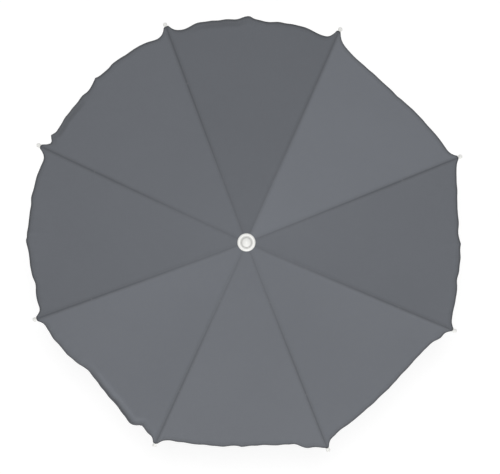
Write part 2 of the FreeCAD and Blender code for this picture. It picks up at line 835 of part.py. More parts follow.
def make_pad(label, side):
    """Rubber lining of one jaw: side is -1 for the fixed jaw's and 1 for the sliding jaw's."""
    body = new_body(label)
    outer = "(tube_radius + pad_thickness)"
    top = "sin(pad_angle)"
    edge = f"{side} * cos(pad_angle)"
    pad_outline(body, "XZ", [
        (f"tube_radius * {edge}", f"-tube_radius * {top}", f"{side} * tube_radius"),
        (f"tube_radius * {edge}", f"tube_radius * {top}"),
        (f"{outer} * {edge}", f"{outer} * {top}", f"{-side} * {outer}"),
        (f"{outer} * {edge}", f"-{outer} * {top}"),
    ], "clamp_width - 2 * pad_margin")
    return body


def make_clamp_jaw():
    """Sliding jaw under the bridge, with a recess in its back for the screw's foot."""
    body = new_body("clamp_jaw")
    lip_x = "seat_radius * cos(pad_angle + 2)"
    lip_z = "seat_radius * sin(pad_angle + 2)"
    foot = f"-({lip_z} + arm_lip)"
    top = "bridge_under - slide_gap"
    pad_outline(body, "XZ", [
        (lip_x, foot),
        ("jaw_back", foot),
        ("jaw_back", top),
        (lip_x, top),
        (lip_x, lip_z, "-(seat_radius)"),
        (lip_x, f"-({lip_z})"),
    ], "clamp_width")
    recess = box_corners("jaw_back - jaw_recess", "2 * jaw_back", "0", "screw_foot_radius + turn_gap")
    spin_outline(body, recess, axis="H_Axis", cut=True)
    return body


def make_clamp_screw():
    body = new_body("clamp_screw")
    spin_outline(body, [
        ("0", "screw_start"),
        ("screw_foot_radius", "screw_start"),
        ("screw_foot_radius", "screw_start + screw_foot"),
        ("screw_radius", "screw_start + screw_foot"),
        ("screw_radius", "knob_start + knob_thickness * 0.7"),
        ("0", "knob_start + knob_thickness * 0.7"),
    ])
    body.Placement = Placement(Vector(0, 0, 0), TO_X)
    return body


def make_clamp_knob():
    """Scalloped hand knob pressed on the screw's end."""
    body = new_body("clamp_knob")
    spin_outline(body, [
        ("0", "knob_start"),
        ("knob_radius - knob_edge", "knob_start"),
        ("knob_radius", "knob_start + knob_edge"),
        ("knob_radius", "knob_start + knob_thickness - knob_edge", "knob_edge"),
        ("knob_radius - knob_edge", "knob_start + knob_thickness"),
        ("0", "knob_start + knob_thickness"),
    ])
    bore_end = "knob_start + knob_thickness * 0.7 + seat_gap"
    spin_outline(body, box_corners("0", "screw_radius + seat_gap", "0", bore_end), cut=True)
    reach = "knob_radius + knob_scallop_radius - knob_scallop_bite"
    sketch = new_sketch(body, "XY", "knob_start + knob_thickness / 2")
    draw_circle(sketch, reach, "0", "knob_scallop_radius")
    scallop = extrude(body, sketch, "2 * knob_thickness", cut=True)
    repeat_round(body, scallop, 6)
    body.Placement = Placement(Vector(0, 0, 0), TO_X)
    return body


pieces = []
for spoke in range(1, PANELS + 1):
    pieces += [make_gore(spoke), make_rib(spoke), make_tip(spoke), make_stretcher(spoke), make_rivet(spoke)]
pieces += [make_top_cap(), make_notch(), make_wire("notch_wire", "notch_height")]
pieces += [make_runner(), make_wire("runner_wire", "runner_height"), make_runner_catch()]
pieces += [make_upper_pole(), make_knuckle_upper(), make_knuckle_lower(), make_knuckle_pin()]
pieces += [make_tilt_button(), make_button_spring()]
lower_foot = "socket_floor"
pieces += [make_tube("lower_pole", "knuckle_height - pole_seat - socket_floor", lower_foot)]
pieces += [make_clamp_body(), make_pad("fixed_pad", -1), make_clamp_jaw(), make_pad("moving_pad", 1)]
pieces += [make_clamp_screw(), make_clamp_knob()]

doc.recompute()

for item in doc.Objects:
    if "Invalid" in item.State or "Error" in item.State:
        raise RuntimeError(f"{item.Label} failed to build")
for piece in pieces:
    if piece.Shape.isNull() or not piece.Shape.isValid() or len(piece.Shape.Solids) != 1:
        raise RuntimeError(f"{piece.Label} is not one sound solid")

os.makedirs("parts", exist_ok=True)
for piece in pieces:
    piece.Shape.exportStep(f"parts/{piece.Label}.step")
print(len(pieces), "pieces")
for word in ("joint_slope", "runner_fall", "closed_fall", "knuckle_height", "notch_height", "catch_height"):
    print(word, round(size(word), 3))
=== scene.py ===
# %% [markdown]
# # Dressing a pram parasol
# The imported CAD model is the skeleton: ribs, stretchers, pole, tilt knuckle and clamp already have their
# true shape and place. Blender adds what the solids leave plain: the sewn cloth, its stitches, the thread
# of the clamp's screw, softened edges and every surface finish. The frame is loaded first, because each
# piece made below is placed by it and rides on one of its bodies.

# %% Load the frame
import json
import math

import bmesh
import bpy
import numpy as np
from mathutils import Matrix, Vector


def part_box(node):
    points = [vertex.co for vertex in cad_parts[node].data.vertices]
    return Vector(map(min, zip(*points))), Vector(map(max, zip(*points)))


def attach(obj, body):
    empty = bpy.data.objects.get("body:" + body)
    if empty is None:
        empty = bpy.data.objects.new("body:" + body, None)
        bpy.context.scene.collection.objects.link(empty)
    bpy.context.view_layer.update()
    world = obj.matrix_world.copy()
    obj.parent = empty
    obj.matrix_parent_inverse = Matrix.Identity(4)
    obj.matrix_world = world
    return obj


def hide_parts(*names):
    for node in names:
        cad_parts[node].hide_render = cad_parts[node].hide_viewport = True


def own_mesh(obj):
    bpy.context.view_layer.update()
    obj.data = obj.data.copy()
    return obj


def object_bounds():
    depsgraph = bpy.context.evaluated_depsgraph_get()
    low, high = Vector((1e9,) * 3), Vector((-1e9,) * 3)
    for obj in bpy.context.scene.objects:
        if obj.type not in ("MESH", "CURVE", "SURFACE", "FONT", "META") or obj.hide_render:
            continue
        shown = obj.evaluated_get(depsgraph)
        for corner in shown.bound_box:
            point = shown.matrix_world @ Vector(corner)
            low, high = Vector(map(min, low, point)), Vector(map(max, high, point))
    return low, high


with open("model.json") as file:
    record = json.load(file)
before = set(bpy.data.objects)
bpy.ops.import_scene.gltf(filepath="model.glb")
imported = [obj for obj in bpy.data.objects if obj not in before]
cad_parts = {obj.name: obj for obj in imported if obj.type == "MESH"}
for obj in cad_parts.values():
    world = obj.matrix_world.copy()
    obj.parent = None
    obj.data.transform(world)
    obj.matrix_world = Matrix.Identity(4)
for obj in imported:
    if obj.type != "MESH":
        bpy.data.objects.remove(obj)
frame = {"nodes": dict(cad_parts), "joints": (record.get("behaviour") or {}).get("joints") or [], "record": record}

scene = bpy.context.scene
cad_low, cad_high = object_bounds()
print("CAD box", [round(v, 4) for v in cad_low], [round(v, 4) for v in cad_high])

# %% [markdown]
# ## Sizes that the cloth needs
# The eight ribs hang from eyes on a small circle round the pole. The joints of the frame say where those
# eyes are, so the crown's height and the pivot circle are read from there. The rib's own bend is an arc
# between two slopes, and its radius follows from how far the rib reaches.

# %% Sizes
MM = 0.001
PANELS = 8
HALF_PANEL = math.pi / PANELS
joints = {joint["name"]: joint for joint in frame["joints"]}
eye = Vector(joints["fold"]["pos_m"])
PIVOT_RADIUS = math.hypot(eye.x, eye.y)
CROWN_HEIGHT = eye.z
RIB_START, RIB_END = math.radians(20), math.radians(34)
RIB_REACH = 364 * MM
RIB_BEND = (RIB_REACH - PIVOT_RADIUS) / (math.sin(RIB_END) - math.sin(RIB_START))


def spoke_angle(spoke):
    """Direction of rib 1 to 8, counter-clockwise from +X."""
    return (2 * spoke - 1) * HALF_PANEL


def outward(spoke):
    return Vector((math.cos(spoke_angle(spoke)), math.sin(spoke_angle(spoke)), 0))


def sideways(spoke):
    return Vector((-math.sin(spoke_angle(spoke)), math.cos(spoke_angle(spoke)), 0))


def panel_before(spoke):
    """The panel that ends at this rib; the one that starts there has the rib's own number."""
    return (spoke - 2) % PANELS + 1


print("crown at", round(CROWN_HEIGHT, 4), "rib bend", round(RIB_BEND, 3))

# %% [markdown]
# ## Camera
# The picture looks down on the open canopy from almost straight above: the crown cap sits a few pixels
# below the middle of the eight tips, so the camera leans about two degrees from the pole. A long lens far
# away keeps the panels' proportions. The image is 500 by 474 pixels, and at the height of the tips one
# pixel covers 1.6 mm, which fixes the lens once the distance is chosen.

# %% Camera
PICTURE_WIDTH = 500
PIXEL = 1.6 * MM
SENSOR = 36
DISTANCE = 2.6
# The camera looks at the rim's centre, this far below the crown, and a little to the right of it and above.
RIM_DROP = 181 * MM
AIM_RIGHT, AIM_UP = 3.0 * PIXEL, 1.2 * PIXEL
LEAN, SIDE_LEAN = math.radians(1.95), 0.0035
ROLL = math.radians(1.55)


def add_object(name, data):
    """Put a camera, a lamp or a mesh into the scene."""
    thing = bpy.data.objects.new(name, data)
    scene.collection.objects.link(thing)
    return thing


camera_data = bpy.data.cameras.new("camera")
camera_data.sensor_width = SENSOR
camera_data.lens = SENSOR * DISTANCE / (PICTURE_WIDTH * PIXEL)
camera = add_object("camera", camera_data)
scene.camera = camera

rim_centre = Vector((0, 0, CROWN_HEIGHT - RIM_DROP))
stand = rim_centre + DISTANCE * Vector((SIDE_LEAN, math.sin(LEAN), math.cos(LEAN)))
up_hint = Vector((-math.sin(ROLL), math.cos(ROLL), 0))
forward = (rim_centre - stand).normalized()
right = forward.cross(up_hint).normalized()
aim = rim_centre + right * AIM_RIGHT + right.cross(forward) * AIM_UP
forward = (aim - stand).normalized()
right = forward.cross(up_hint).normalized()
up = right.cross(forward)
camera.matrix_world = Matrix((
    (right.x, up.x, -forward.x, stand.x),
    (right.y, up.y, -forward.y, stand.y),
    (right.z, up.z, -forward.z, stand.z),
    (0, 0, 0, 1),
))
print("lens", round(camera_data.lens, 1), "mm")

# %% [markdown]
# ## Floor and light
# A shop picture on white has no visible floor, only a faint shade under the object. The floor here is a
# wide white sheet under the clamp, and the world round it is white too. To the camera and in reflections the
# floor is half a white glow, and to all other light it is plain white, so that it stays white and still takes
# the shadow. A small helper adds a node to any tree and sets or wires its inputs, because every floor, finish
# and shape below is built from such nodes.

# %% Floor
scene.view_settings.view_transform = "Standard"
FLOOR_REACH = 9.0
FLOOR_GAP = 0.5 * MM
FLOOR_GLOW = 1.3
GLOW_SHARE = 0.5
WHITE = (1, 1, 1, 1)


def wire(owner, source, target):
    """Join two sockets in a tree, or in the tree of a material or world."""
    getattr(owner, "node_tree", owner).links.new(source, target)


def add_node(owner, kind, inputs=(), **settings):
    """A node with its settings made and its inputs set, or wired where the value is another node's output."""
    node = getattr(owner, "node_tree", owner).nodes.new(kind)
    for setting, value in settings.items():
        setattr(node, setting, value)
    for socket, value in inputs:
        if isinstance(value, bpy.types.NodeSocket):
            wire(owner, value, node.inputs[socket])
        else:
            node.inputs[socket].default_value = value
    return node


def work_out(owner, operation, *values):
    return add_node(owner, "ShaderNodeMath", enumerate(values), operation=operation).outputs[0]


def seen_or_mirrored(owner):
    """1 for a ray from the camera and for one that a shiny or clear surface sends on, else 0."""
    path = add_node(owner, "ShaderNodeLightPath").outputs
    mirrored = work_out(owner, "MAXIMUM", path["Is Glossy Ray"], path["Is Transmission Ray"])
    return work_out(owner, "MAXIMUM", path["Is Camera Ray"], mirrored)


level = cad_low.z - FLOOR_GAP
floor_mesh = bpy.data.meshes.new("floor")
floor_corners = [(x * FLOOR_REACH, y * FLOOR_REACH, level) for x, y in ((-1, -1), (1, -1), (1, 1), (-1, 1))]
floor_mesh.from_pydata(floor_corners, [], [(0, 1, 2, 3)])
floor = add_object("floor", floor_mesh)

floor_finish = bpy.data.materials.new("floor white")
floor_finish.use_nodes = True
floor_finish.node_tree.nodes.clear()
share = work_out(floor_finish, "MULTIPLY", seen_or_mirrored(floor_finish), GLOW_SHARE)
plain = add_node(floor_finish, "ShaderNodeBsdfDiffuse", [("Color", (0.9, 0.9, 0.9, 1))])
glow = add_node(floor_finish, "ShaderNodeEmission", [("Color", WHITE), ("Strength", FLOOR_GLOW)])
mix = add_node(floor_finish, "ShaderNodeMixShader",
               [("Fac", share), (1, plain.outputs[0]), (2, glow.outputs[0])])
add_node(floor_finish, "ShaderNodeOutputMaterial", [("Surface", mix.outputs[0])])
floor_mesh.materials.append(floor_finish)
print("floor at", round(level, 4))

# %% [markdown]
# The light is an even white sky and two lamps. In the picture the panels that face its lower edge are the
# lighter ones, so a large lamp stands low in front, on that side. A small lamp overhead lights the canopy
# from above and draws its shade on the floor.

# %% Light
SKY = 0.58
LIT_POINT = Vector((0, 0, 0.55))

world = bpy.data.worlds.new("studio")
scene.world = world
world.use_nodes = True
world.node_tree.nodes.clear()
sky = add_node(world, "ShaderNodeBackground", [("Color", WHITE), ("Strength", SKY)])
backdrop = add_node(world, "ShaderNodeBackground", [("Color", WHITE)])
mix = add_node(world, "ShaderNodeMixShader",
               [("Fac", seen_or_mirrored(world)), (1, sky.outputs[0]), (2, backdrop.outputs[0])])
add_node(world, "ShaderNodeOutputWorld", [("Surface", mix.outputs[0])])


def add_lamp(name, place, size, power):
    lamp_data = bpy.data.lights.new(name, "AREA")
    lamp_data.shape = "DISK"
    lamp_data.size = size
    lamp_data.energy = power
    lamp = add_object(name, lamp_data)
    lamp.visible_camera = False
    lamp.location = place
    lamp.rotation_euler = (LIT_POINT - Vector(place)).to_track_quat("-Z", "Y").to_euler()
    return lamp


lamps = [
    add_lamp("front lamp", (0.5, -3.3, 1.25), size=2.0, power=34),
    add_lamp("overhead lamp", (0.0, 0.35, 3.6), size=0.4, power=30),
]
print("lamps", [lamp.name for lamp in lamps])

# %% [markdown]
# ## Finishes
# Every finish starts from one shader with its plain values set on the shader itself, and adds detail that
# the real surface has: weave in the cloth, a fine grain in moulded nylon, the orange peel of powder coat,
# drawn streaks in plated steel. The patterns use object coordinates, which stay with the piece, or the
# cloth's own flat map so that the weave follows each panel.

# %% Finish helpers
def start_finish(name, colour, **values):
    """A material whose shader has its plain values set, ready for detail."""
    material = bpy.data.materials.new(name)
    material.use_nodes = True
    shader = material.node_tree.nodes["Principled BSDF"]
    shader.inputs["Base Color"].default_value = (*colour, 1)
    for socket, value in values.items():
        shader.inputs[socket.replace("_", " ").title().replace("Ior", "IOR")].default_value = value
    return material, shader


def noise(material, place, scale, detail=2.0):
    inputs = [("Vector", place), ("Scale", scale), ("Detail", detail)]
    return add_node(material, "ShaderNodeTexNoise", inputs).outputs["Fac"]


def stretch(material, place, factors):
    node = add_node(material, "ShaderNodeVectorMath", [(0, place), (1, factors)], operation="MULTIPLY")
    return node.outputs[0]


def remap(material, value, low, high):
    """Carry a 0 to 1 pattern to the range low to high."""
    node = add_node(material, "ShaderNodeMapRange", [("Value", value), ("To Min", low), ("To Max", high)])
    return node.outputs["Result"]


def times(material, first, second):
    return work_out(material, "MULTIPLY", first, second)


def object_place(material):
    return add_node(material, "ShaderNodeTexCoord").outputs["Object"]


def tint(material, shader, colour, tone):
    """Lighten or darken the finish's colour by a pattern round 1."""
    node = add_node(material, "ShaderNodeVectorMath", [(0, colour), ("Scale", tone)], operation="SCALE")
    wire(material, node.outputs[0], shader.inputs["Base Color"])


def vary_roughness(material, shader, pattern, low, high):
    wire(material, remap(material, pattern, low, high), shader.inputs["Roughness"])


def raise_grain(material, shader, height, strength, depth):
    inputs = [("Height", height), ("Strength", strength), ("Distance", depth)]
    wire(material, add_node(material, "ShaderNodeBump", inputs).outputs["Normal"], shader.inputs["Normal"])


print("helpers ready")

# %% [markdown]
# ### Cloth
# The canopy is a plain woven polyester, dyed grey. A plain weave is a chequerboard of threads: where the
# warp is on top the ridge runs one way, where the weft is on top it runs the other way. Two bands of
# waves and a checker make that height. Slubs, the slow change of a thread's thickness, streak it along
# both directions. The sewn edges are darker, partly because there the cloth is doubled and pulled in, and
# partly by painted shade: in the seam's groove, along the hem's rolled edge and in stretches of hem that
# turn under or roll over. Each panel has its own small difference of tone, as panels cut at different
# angles from one roll do, and part of that difference is painted shade; a painted highlight lightens the
# crest of a rolled hem.

# %% Cloth finish
THREAD_PITCH = 0.5 * MM


def make_cloth_finish(name, colour, sheen, sewn):
    material, shader = start_finish(name, colour, roughness=0.7, specular_ior_level=0.28, sheen_weight=sheen,
                                    sheen_roughness=0.45)
    flat = add_node(material, "ShaderNodeUVMap", uv_map="flat").outputs["UV"]
    threads = stretch(material, flat, (1 / THREAD_PITCH, 1 / THREAD_PITCH, 1))
    over = add_node(material, "ShaderNodeTexChecker", [("Vector", threads), ("Scale", 1.0)]).outputs["Fac"]
    ridges = []
    for direction in ("X", "Y"):
        band = add_node(material, "ShaderNodeTexWave", [("Vector", threads), ("Scale", math.pi / 10)],
                        bands_direction=direction)
        ridges.append(band.outputs["Fac"])
    weave = add_node(material, "ShaderNodeMix", [(0, over), (2, ridges[0]), (3, ridges[1])]).outputs[0]
    warp_slub = noise(material, stretch(material, flat, (1700, 45, 1)), 1.0)
    weft_slub = noise(material, stretch(material, flat, (45, 1700, 1)), 1.0)
    slub = times(material, remap(material, warp_slub, 0.94, 1.06), remap(material, weft_slub, 0.95, 1.05))
    cloud = remap(material, noise(material, object_place(material), 9.0, 3.0), 0.965, 1.035)
    tone = times(material, times(material, slub, cloud), remap(material, weave, 0.93, 1.05))
    if sewn:
        # The darkening of the sewn edges: partly doubled cloth, partly painted shade.
        edge = add_node(material, "ShaderNodeAttribute", attribute_name="sewn_edge").outputs["Fac"]
        tone = times(material, tone, remap(material, edge, 1.0, 0.36))
        # Each panel's tone, with painted shade on some panels and a painted highlight on a rolled hem's crest.
        panel = add_node(material, "ShaderNodeAttribute", attribute_name="panel_tone").outputs["Fac"]
        tone = times(material, tone, panel)
    tint(material, shader, colour, tone)
    vary_roughness(material, shader, weave, 0.78, 0.66)
    raise_grain(material, shader, weave, 0.22, 0.12 * MM)
    return material


cloth_finish = make_cloth_finish("grey cloth", (0.1435, 0.153, 0.171), sheen=0.06, sewn=True)
lining_finish = make_cloth_finish("cloth underside", (0.172, 0.179, 0.19), sheen=0.03, sewn=False)


def make_thread_finish(name, colour):
    material, shader = start_finish(name, colour, roughness=0.6, sheen_weight=0.2)
    twist = noise(material, stretch(material, object_place(material), (4200, 4200, 4200)), 1.0)
    tint(material, shader, colour, remap(material, twist, 0.8, 1.2))
    raise_grain(material, shader, twist, 0.3, 0.05 * MM)
    return material


thread_finish = make_thread_finish("sewing thread", (0.13, 0.136, 0.148))
print("nodes in", {finish.name: len(finish.node_tree.nodes) for finish in (cloth_finish, thread_finish)})

# %% [markdown]
# ### Plastic, paint, steel and rubber
# Moulded nylon is nearly smooth, with a faint mottling where the melt met and a fine spark-eroded grain.
# On the cap it carries painted shade in the groove round the button. Powder coat has a rounder, coarser orange
# peel. Zinc plate is metal with drawn streaks and a slightly cloudy tone. Rubber is dark, dull and dusted. One
# small function for each keeps their scales apart.

# %% Hard finishes
def ring_shade(material, place, radius, width, depth):
    """A tone of 1 that sinks to depth on a ring of this radius about the upright axis: painted shade in a groove.
    """
    flat = stretch(material, place, (1, 1, 0))
    reach = add_node(material, "ShaderNodeVectorMath", [(0, flat)], operation="LENGTH").outputs["Value"]
    away = work_out(material, "ABSOLUTE", work_out(material, "SUBTRACT", reach, radius))
    node = add_node(material, "ShaderNodeMapRange", [("Value", away), ("From Max", width), ("To Min", depth)],
                    interpolation_type="SMOOTHSTEP")
    return node.outputs["Result"]


def make_moulded(name, colour, roughness, grain, strength, groove=None):
    material, shader = start_finish(name, colour, roughness=roughness, specular_ior_level=0.45)
    place = object_place(material)
    tone = times(material, remap(material, noise(material, place, 55.0, 3.0), 0.965, 1.02),
                 remap(material, noise(material, place, 700.0), 0.98, 1.015))
    # Painted shade on a ring, in the cap's groove.
    if groove:
        tone = times(material, tone, ring_shade(material, place, *groove))
    tint(material, shader, colour, tone)
    vary_roughness(material, shader, noise(material, place, 240.0, 3.0), roughness - 0.09, roughness + 0.1)
    raise_grain(material, shader, noise(material, place, grain, 3.0), strength, 0.06 * MM)
    return material


def make_coated(name, colour, roughness, peel):
    material, shader = start_finish(name, colour, roughness=roughness, specular_ior_level=0.5)
    place = object_place(material)
    tone = times(material, remap(material, noise(material, place, 30.0, 2.0), 0.975, 1.015),
                 remap(material, noise(material, stretch(material, place, (900, 900, 60)), 1.0), 0.985, 1.01))
    tint(material, shader, colour, tone)
    vary_roughness(material, shader, noise(material, place, 420.0), roughness - 0.08, roughness + 0.08)
    raise_grain(material, shader, noise(material, place, peel, 1.0), 0.16, 0.08 * MM)
    return material


def make_plated(name, colour):
    material, shader = start_finish(name, colour, metallic=1.0, roughness=0.33)
    place = object_place(material)
    streak = noise(material, stretch(material, place, (2600, 2600, 180)), 1.0, 3.0)
    cloud = noise(material, place, 130.0)
    tone = times(material, remap(material, streak, 0.86, 1.08), remap(material, cloud, 0.9, 1.06))
    tint(material, shader, colour, tone)
    vary_roughness(material, shader, streak, 0.26, 0.44)
    raise_grain(material, shader, streak, 0.08, 0.04 * MM)
    return material


def make_rubber(name, colour):
    material, shader = start_finish(name, colour, roughness=0.8, specular_ior_level=0.3)
    place = object_place(material)
    dust = noise(material, place, 90.0, 4.0)
    tint(material, shader, colour, remap(material, dust, 0.8, 1.35))
    vary_roughness(material, shader, dust, 0.68, 0.9)
    raise_grain(material, shader, noise(material, place, 1500.0), 0.25, 0.08 * MM)
    return material


WHITE_NYLON = (0.87, 0.87, 0.845)
# The cap's groove: radius, width and the darkest tone of its painted shade.
CAP_GROOVE_SHADE = (8.1 * MM, 2.6 * MM, 0.66)
white_nylon = make_moulded("white nylon", WHITE_NYLON, roughness=0.38, grain=1900.0, strength=0.08)
cap_nylon_shaded = make_moulded("white nylon, dust in the groove", WHITE_NYLON, roughness=0.38, grain=1900.0,
                         strength=0.08, groove=CAP_GROOVE_SHADE)
grey_nylon = make_moulded("grey nylon", (0.20, 0.21, 0.226), roughness=0.52, grain=1300.0, strength=0.3)
pole_coat = make_coated("white powder coat", (0.84, 0.84, 0.825), roughness=0.42, peel=620.0)
strip_paint = make_coated("painted strip", (0.81, 0.81, 0.80), roughness=0.36, peel=1100.0)
zinc_plate = make_plated("zinc plate", (0.62, 0.63, 0.64))
pad_rubber = make_rubber("pad rubber", (0.085, 0.086, 0.09))
SLOT_FINISH = {
    "cloth": cloth_finish, "strip": strip_paint, "white_plastic": white_nylon, "grey_plastic": grey_nylon,
    "pole": pole_coat, "steel": zinc_plate, "pad": pad_rubber,
}
print("finishes", sorted(SLOT_FINISH))

# %% [markdown]
# ### Finishes on the carried-over solids
# The record says which slot each solid takes its finish from, so one loop gives every CAD node its
# material. The solids keep their meshes untouched.

# %% Solids get their finishes
node_slot = {part["node"]: part["material_slot"] for part in frame["record"]["subparts"]}
for node, solid in frame["nodes"].items():
    solid.data.materials.clear()
    solid.data.materials.append(cap_nylon_shaded if node == "top_cap" else SLOT_FINISH[node_slot[node]])
print(len(node_slot), "solids finished")

# %% [markdown]
# ## Canopy
# The canopy is one sewn sheet: eight panels joined along the ribs, held by the cap in the middle and by
# the ball tips at the corners. It could be draped by simulation, but a stretched canopy is ruled by its
# seams, so here a formula gives its height, which is easy to fit to the picture. Along a rib the cloth
# follows the rib's arc. Round the cap it lies on a steeper cone, and takes the higher of the two.

# %% Seam line
# How high the cloth's top runs over the rib's own line, its hole at the crown, and where its corners stop
# short of the rib's end.
LIFT = 2.9 * MM
CROWN_HOLE = 6.8 * MM
CORNER_INSET = 5.8 * MM
HEM_SLOPE = RIB_END - CORNER_INSET / RIB_BEND
HEM_RADIUS = PIVOT_RADIUS + (RIB_BEND + LIFT) * math.sin(HEM_SLOPE) - RIB_BEND * math.sin(RIB_START)
# The cone: radius and height of its rim, its fall, where it falls faster, and its blend with the arc.
CONE_RADIUS, CONE_HEIGHT = 8.2 * MM, 5.0 * MM
CONE_FALL = math.tan(math.radians(23.5))
CONE_END = 45 * MM
BLEND = 0.3 * MM


def seam_line(radius):
    """Slope and height of the cloth's top on a rib, at this radius from the pole."""
    slope = np.arcsin((radius - PIVOT_RADIUS + RIB_BEND * math.sin(RIB_START)) / (RIB_BEND + LIFT))
    on_rib = (RIB_BEND + LIFT) * np.cos(slope) - RIB_BEND * math.cos(RIB_START)
    on_cone = CONE_HEIGHT - (radius - CONE_RADIUS) * CONE_FALL - np.maximum(radius - CONE_END, 0) / 4
    return slope, CROWN_HEIGHT + (on_rib + on_cone + np.hypot(on_rib - on_cone, BLEND)) / 2


print("seam from radius", CROWN_HOLE, "to", round(HEM_RADIUS, 4))

# %% [markdown]
# ### Hem
# Between two tips the hem is not straight. It is drawn in beside each tip, some panels hang loose and swing
# out past the straight line, and loose cloth stands in ripples, lumps and a small peak. Chance made these, so
# no rule gives them: every hem has its own few numbers, read from the picture, for a sum of smooth curves.

# %% Hem line
# Millimetres past the straight line from tip to tip at a quarter, the middle and three quarters of each
# hem, then the height of the little peak in its middle and of the loose ripple along it.
HEM_SWING = {
    1: (1, -3, -8, 0.5, 0.4),
    2: (11, 15, 15, 4.5, 0.9),
    3: (13, 16, 10, 3.5, 0.9),
    4: (12, 18, 12, 4.0, 1.0),
    5: (4, 0, 6, 0.5, 1.1),
    6: (0, 0, -4, 2.0, 1.0),
    7: (-3, -3, -8, 0.5, 0.5),
    8: (6, 7, 2, 2.5, 0.6),
}
# How far the hem is drawn in beside the first and the second tip of each panel, in millimetres.
DRAWN_IN = {1: (6, 6), 2: (13, 10), 3: (10, 7), 4: (9, 6), 5: (7, 12), 6: (6, -2), 7: (8, 4), 8: (4, 2)}
# Beside a tip: how long the cloth stays on it, and how far from there the hem is drawn in most.
TAB, DRAWN_WIDTH = 4 * MM, 13 * MM
# Where the peak stands, as a share of the half panel, in the two panels where it is off the middle.
PEAK_PLACE = {2: 0.04, 4: 0.1}
PEAK_WIDTH = 0.055
# The two waves of a loose ripple: how quickly each runs along the hem, its shift per panel, and its share.
RIPPLE_WAVES = ((21, 1, 0.6), (33, 2.3, 0.4))
# Lumps and dents of the loose hems: where, half width, both as shares of the half panel, and millimetres out.
HEM_LUMPS = {
    1: ((-0.54, 0.12, -1.2), (0.0, 0.05, -2.0), (0.66, 0.15, -2.0)),
    2: ((-0.7, 0.15, -1.8), (0.09, 0.09, 3.5), (0.55, 0.12, -1.4), (0.79, 0.1, -3.0)),
    3: ((-0.26, 0.06, 2.4), (0.18, 0.06, -2.4), (0.83, 0.035, 4.5), (0.92, 0.05, -4.0)),
    4: ((0.03, 0.06, 2.0), (0.6, 0.13, -3.6), (0.92, 0.05, -2.0)),
    5: ((-0.38, 0.1, 1.5), (-0.15, 0.08, -3.8), (0.24, 0.1, 1.8), (0.61, 0.1, 4.0), (0.76, 0.05, -3.8),
        (0.88, 0.06, 3.5)),
    6: ((-0.28, 0.1, 1.6), (0.61, 0.05, -2.0), (0.75, 0.07, 4.4)),
    7: ((-0.86, 0.06, 2.2), (0.83, 0.07, 5.0)),
    8: ((-0.42, 0.06, -1.4), (-0.17, 0.09, 2.2), (0.1, 0.08, -1.4), (0.4, 0.2, -1.2)),
}


def ease(value, low, high):
    """0 below low, 1 above high, smooth between."""
    part = np.clip((value - low) / (high - low), 0, 1)
    return part * part * (3 - 2 * part)


def hem_swing(panel, across):
    """How far the hem swings out: a smooth curve through the panel's three numbers, nothing at the tips."""
    first, middle, last = HEM_SWING[panel][:3]
    # The first and last number hold where across is -0.5 and 0.5, and 1 - across ** 2 is 0.75.
    lean = (last - first) / 0.75
    fullness = (first + last - 1.5 * middle) / 0.375
    return MM * (1 - across ** 2) * (middle + lean * across + fullness * across ** 2)


def hem_lumps(panel, across):
    """How far, in millimetres, the hem stands out in lumps; nothing at the tips."""
    lumps = sum(out * np.exp(-((across - place) / width) ** 2) for place, width, out in HEM_LUMPS[panel])
    return lumps * ease(1 - np.abs(across), 0, 0.05)


def hem_radius(panel, across):
    """Where the cloth ends: a tab on each tip, drawn in beside it, and a small peak in the middle."""
    corner = np.maximum(HEM_RADIUS * math.sin(HALF_PANEL) * (1 - np.abs(across)) - TAB, 0) / DRAWN_WIDTH
    first, second = DRAWN_IN[panel]
    depth = first + (second - first) * ease(across, -0.5, 0.5)
    drawn_in = depth * MM * corner * np.exp(1 - corner)
    peak, ripple = HEM_SWING[panel][3:]
    loose = sum(np.sin(across * wave + shift * panel) * share for wave, shift, share in RIPPLE_WAVES)
    waves = ripple * MM * loose * (1 - across ** 2)
    off_peak = np.abs(across - PEAK_PLACE.get(panel, 0))
    lumps = MM * hem_lumps(panel, across)
    return HEM_RADIUS - drawn_in + peak * MM * np.exp(-off_peak / PEAK_WIDTH) + waves + lumps


hem_places = np.linspace(-1, 1, 81)
swings = {panel: round(float(hem_swing(panel, hem_places).max() / MM), 1) for panel in HEM_SWING}
print("largest swing of each hem in mm", swings)

# %% [markdown]
# ### Seams, gathers and folds
# Sewing leaves small heights in the cloth. A seam is a groove between doubled strips, and its stitches pucker
# them. The hem is turned over once and rolls down at its edge, and where it is loose it gathers. On three
# panels a stretch of the hem has turned under or rolled over. A bump in the finish could show all this, but
# real height also moves the outline and holds from every side.

# %% Relief
# Where a stretch of hem is turned under: its middle, its half width as a share, and its drop in millimetres.
TURNED_UNDER = {2: (0.38, 0.32, 6), 3: (0.57, 0.29, 10)}
# Where it rolls over in a ridge instead: the same, with the height of the ridge.
ROLLED_OVER = {5: (0.32, 0.48, 1.3)}
# The crest of that ridge, from the hem's edge, and its half width.
RIDGE_PLACE, RIDGE_WIDTH = 17 * MM, 5 * MM
# Heights in millimetres, with the lengths over which they fade or repeat. Along a seam:
GROOVE_DEPTH, GROOVE_WIDTH = 0.35, 1.1 * MM
DOUBLED_HEIGHT, DOUBLED_START, DOUBLED_END = 0.18, (0.5 * MM, 2 * MM), (4.2 * MM, 5.4 * MM)
PUCKER_HEIGHT, PUCKER_WAVE, PUCKER_START, PUCKER_FADE = 0.2, 2.05 * MM, (0, 4 * MM), 8 * MM
# Slow slack over the whole panel:
SLACK_HEIGHT, SLACK_WAVE, SLACK_WAVE_DOWN = 0.4, 19 * MM, 24 * MM
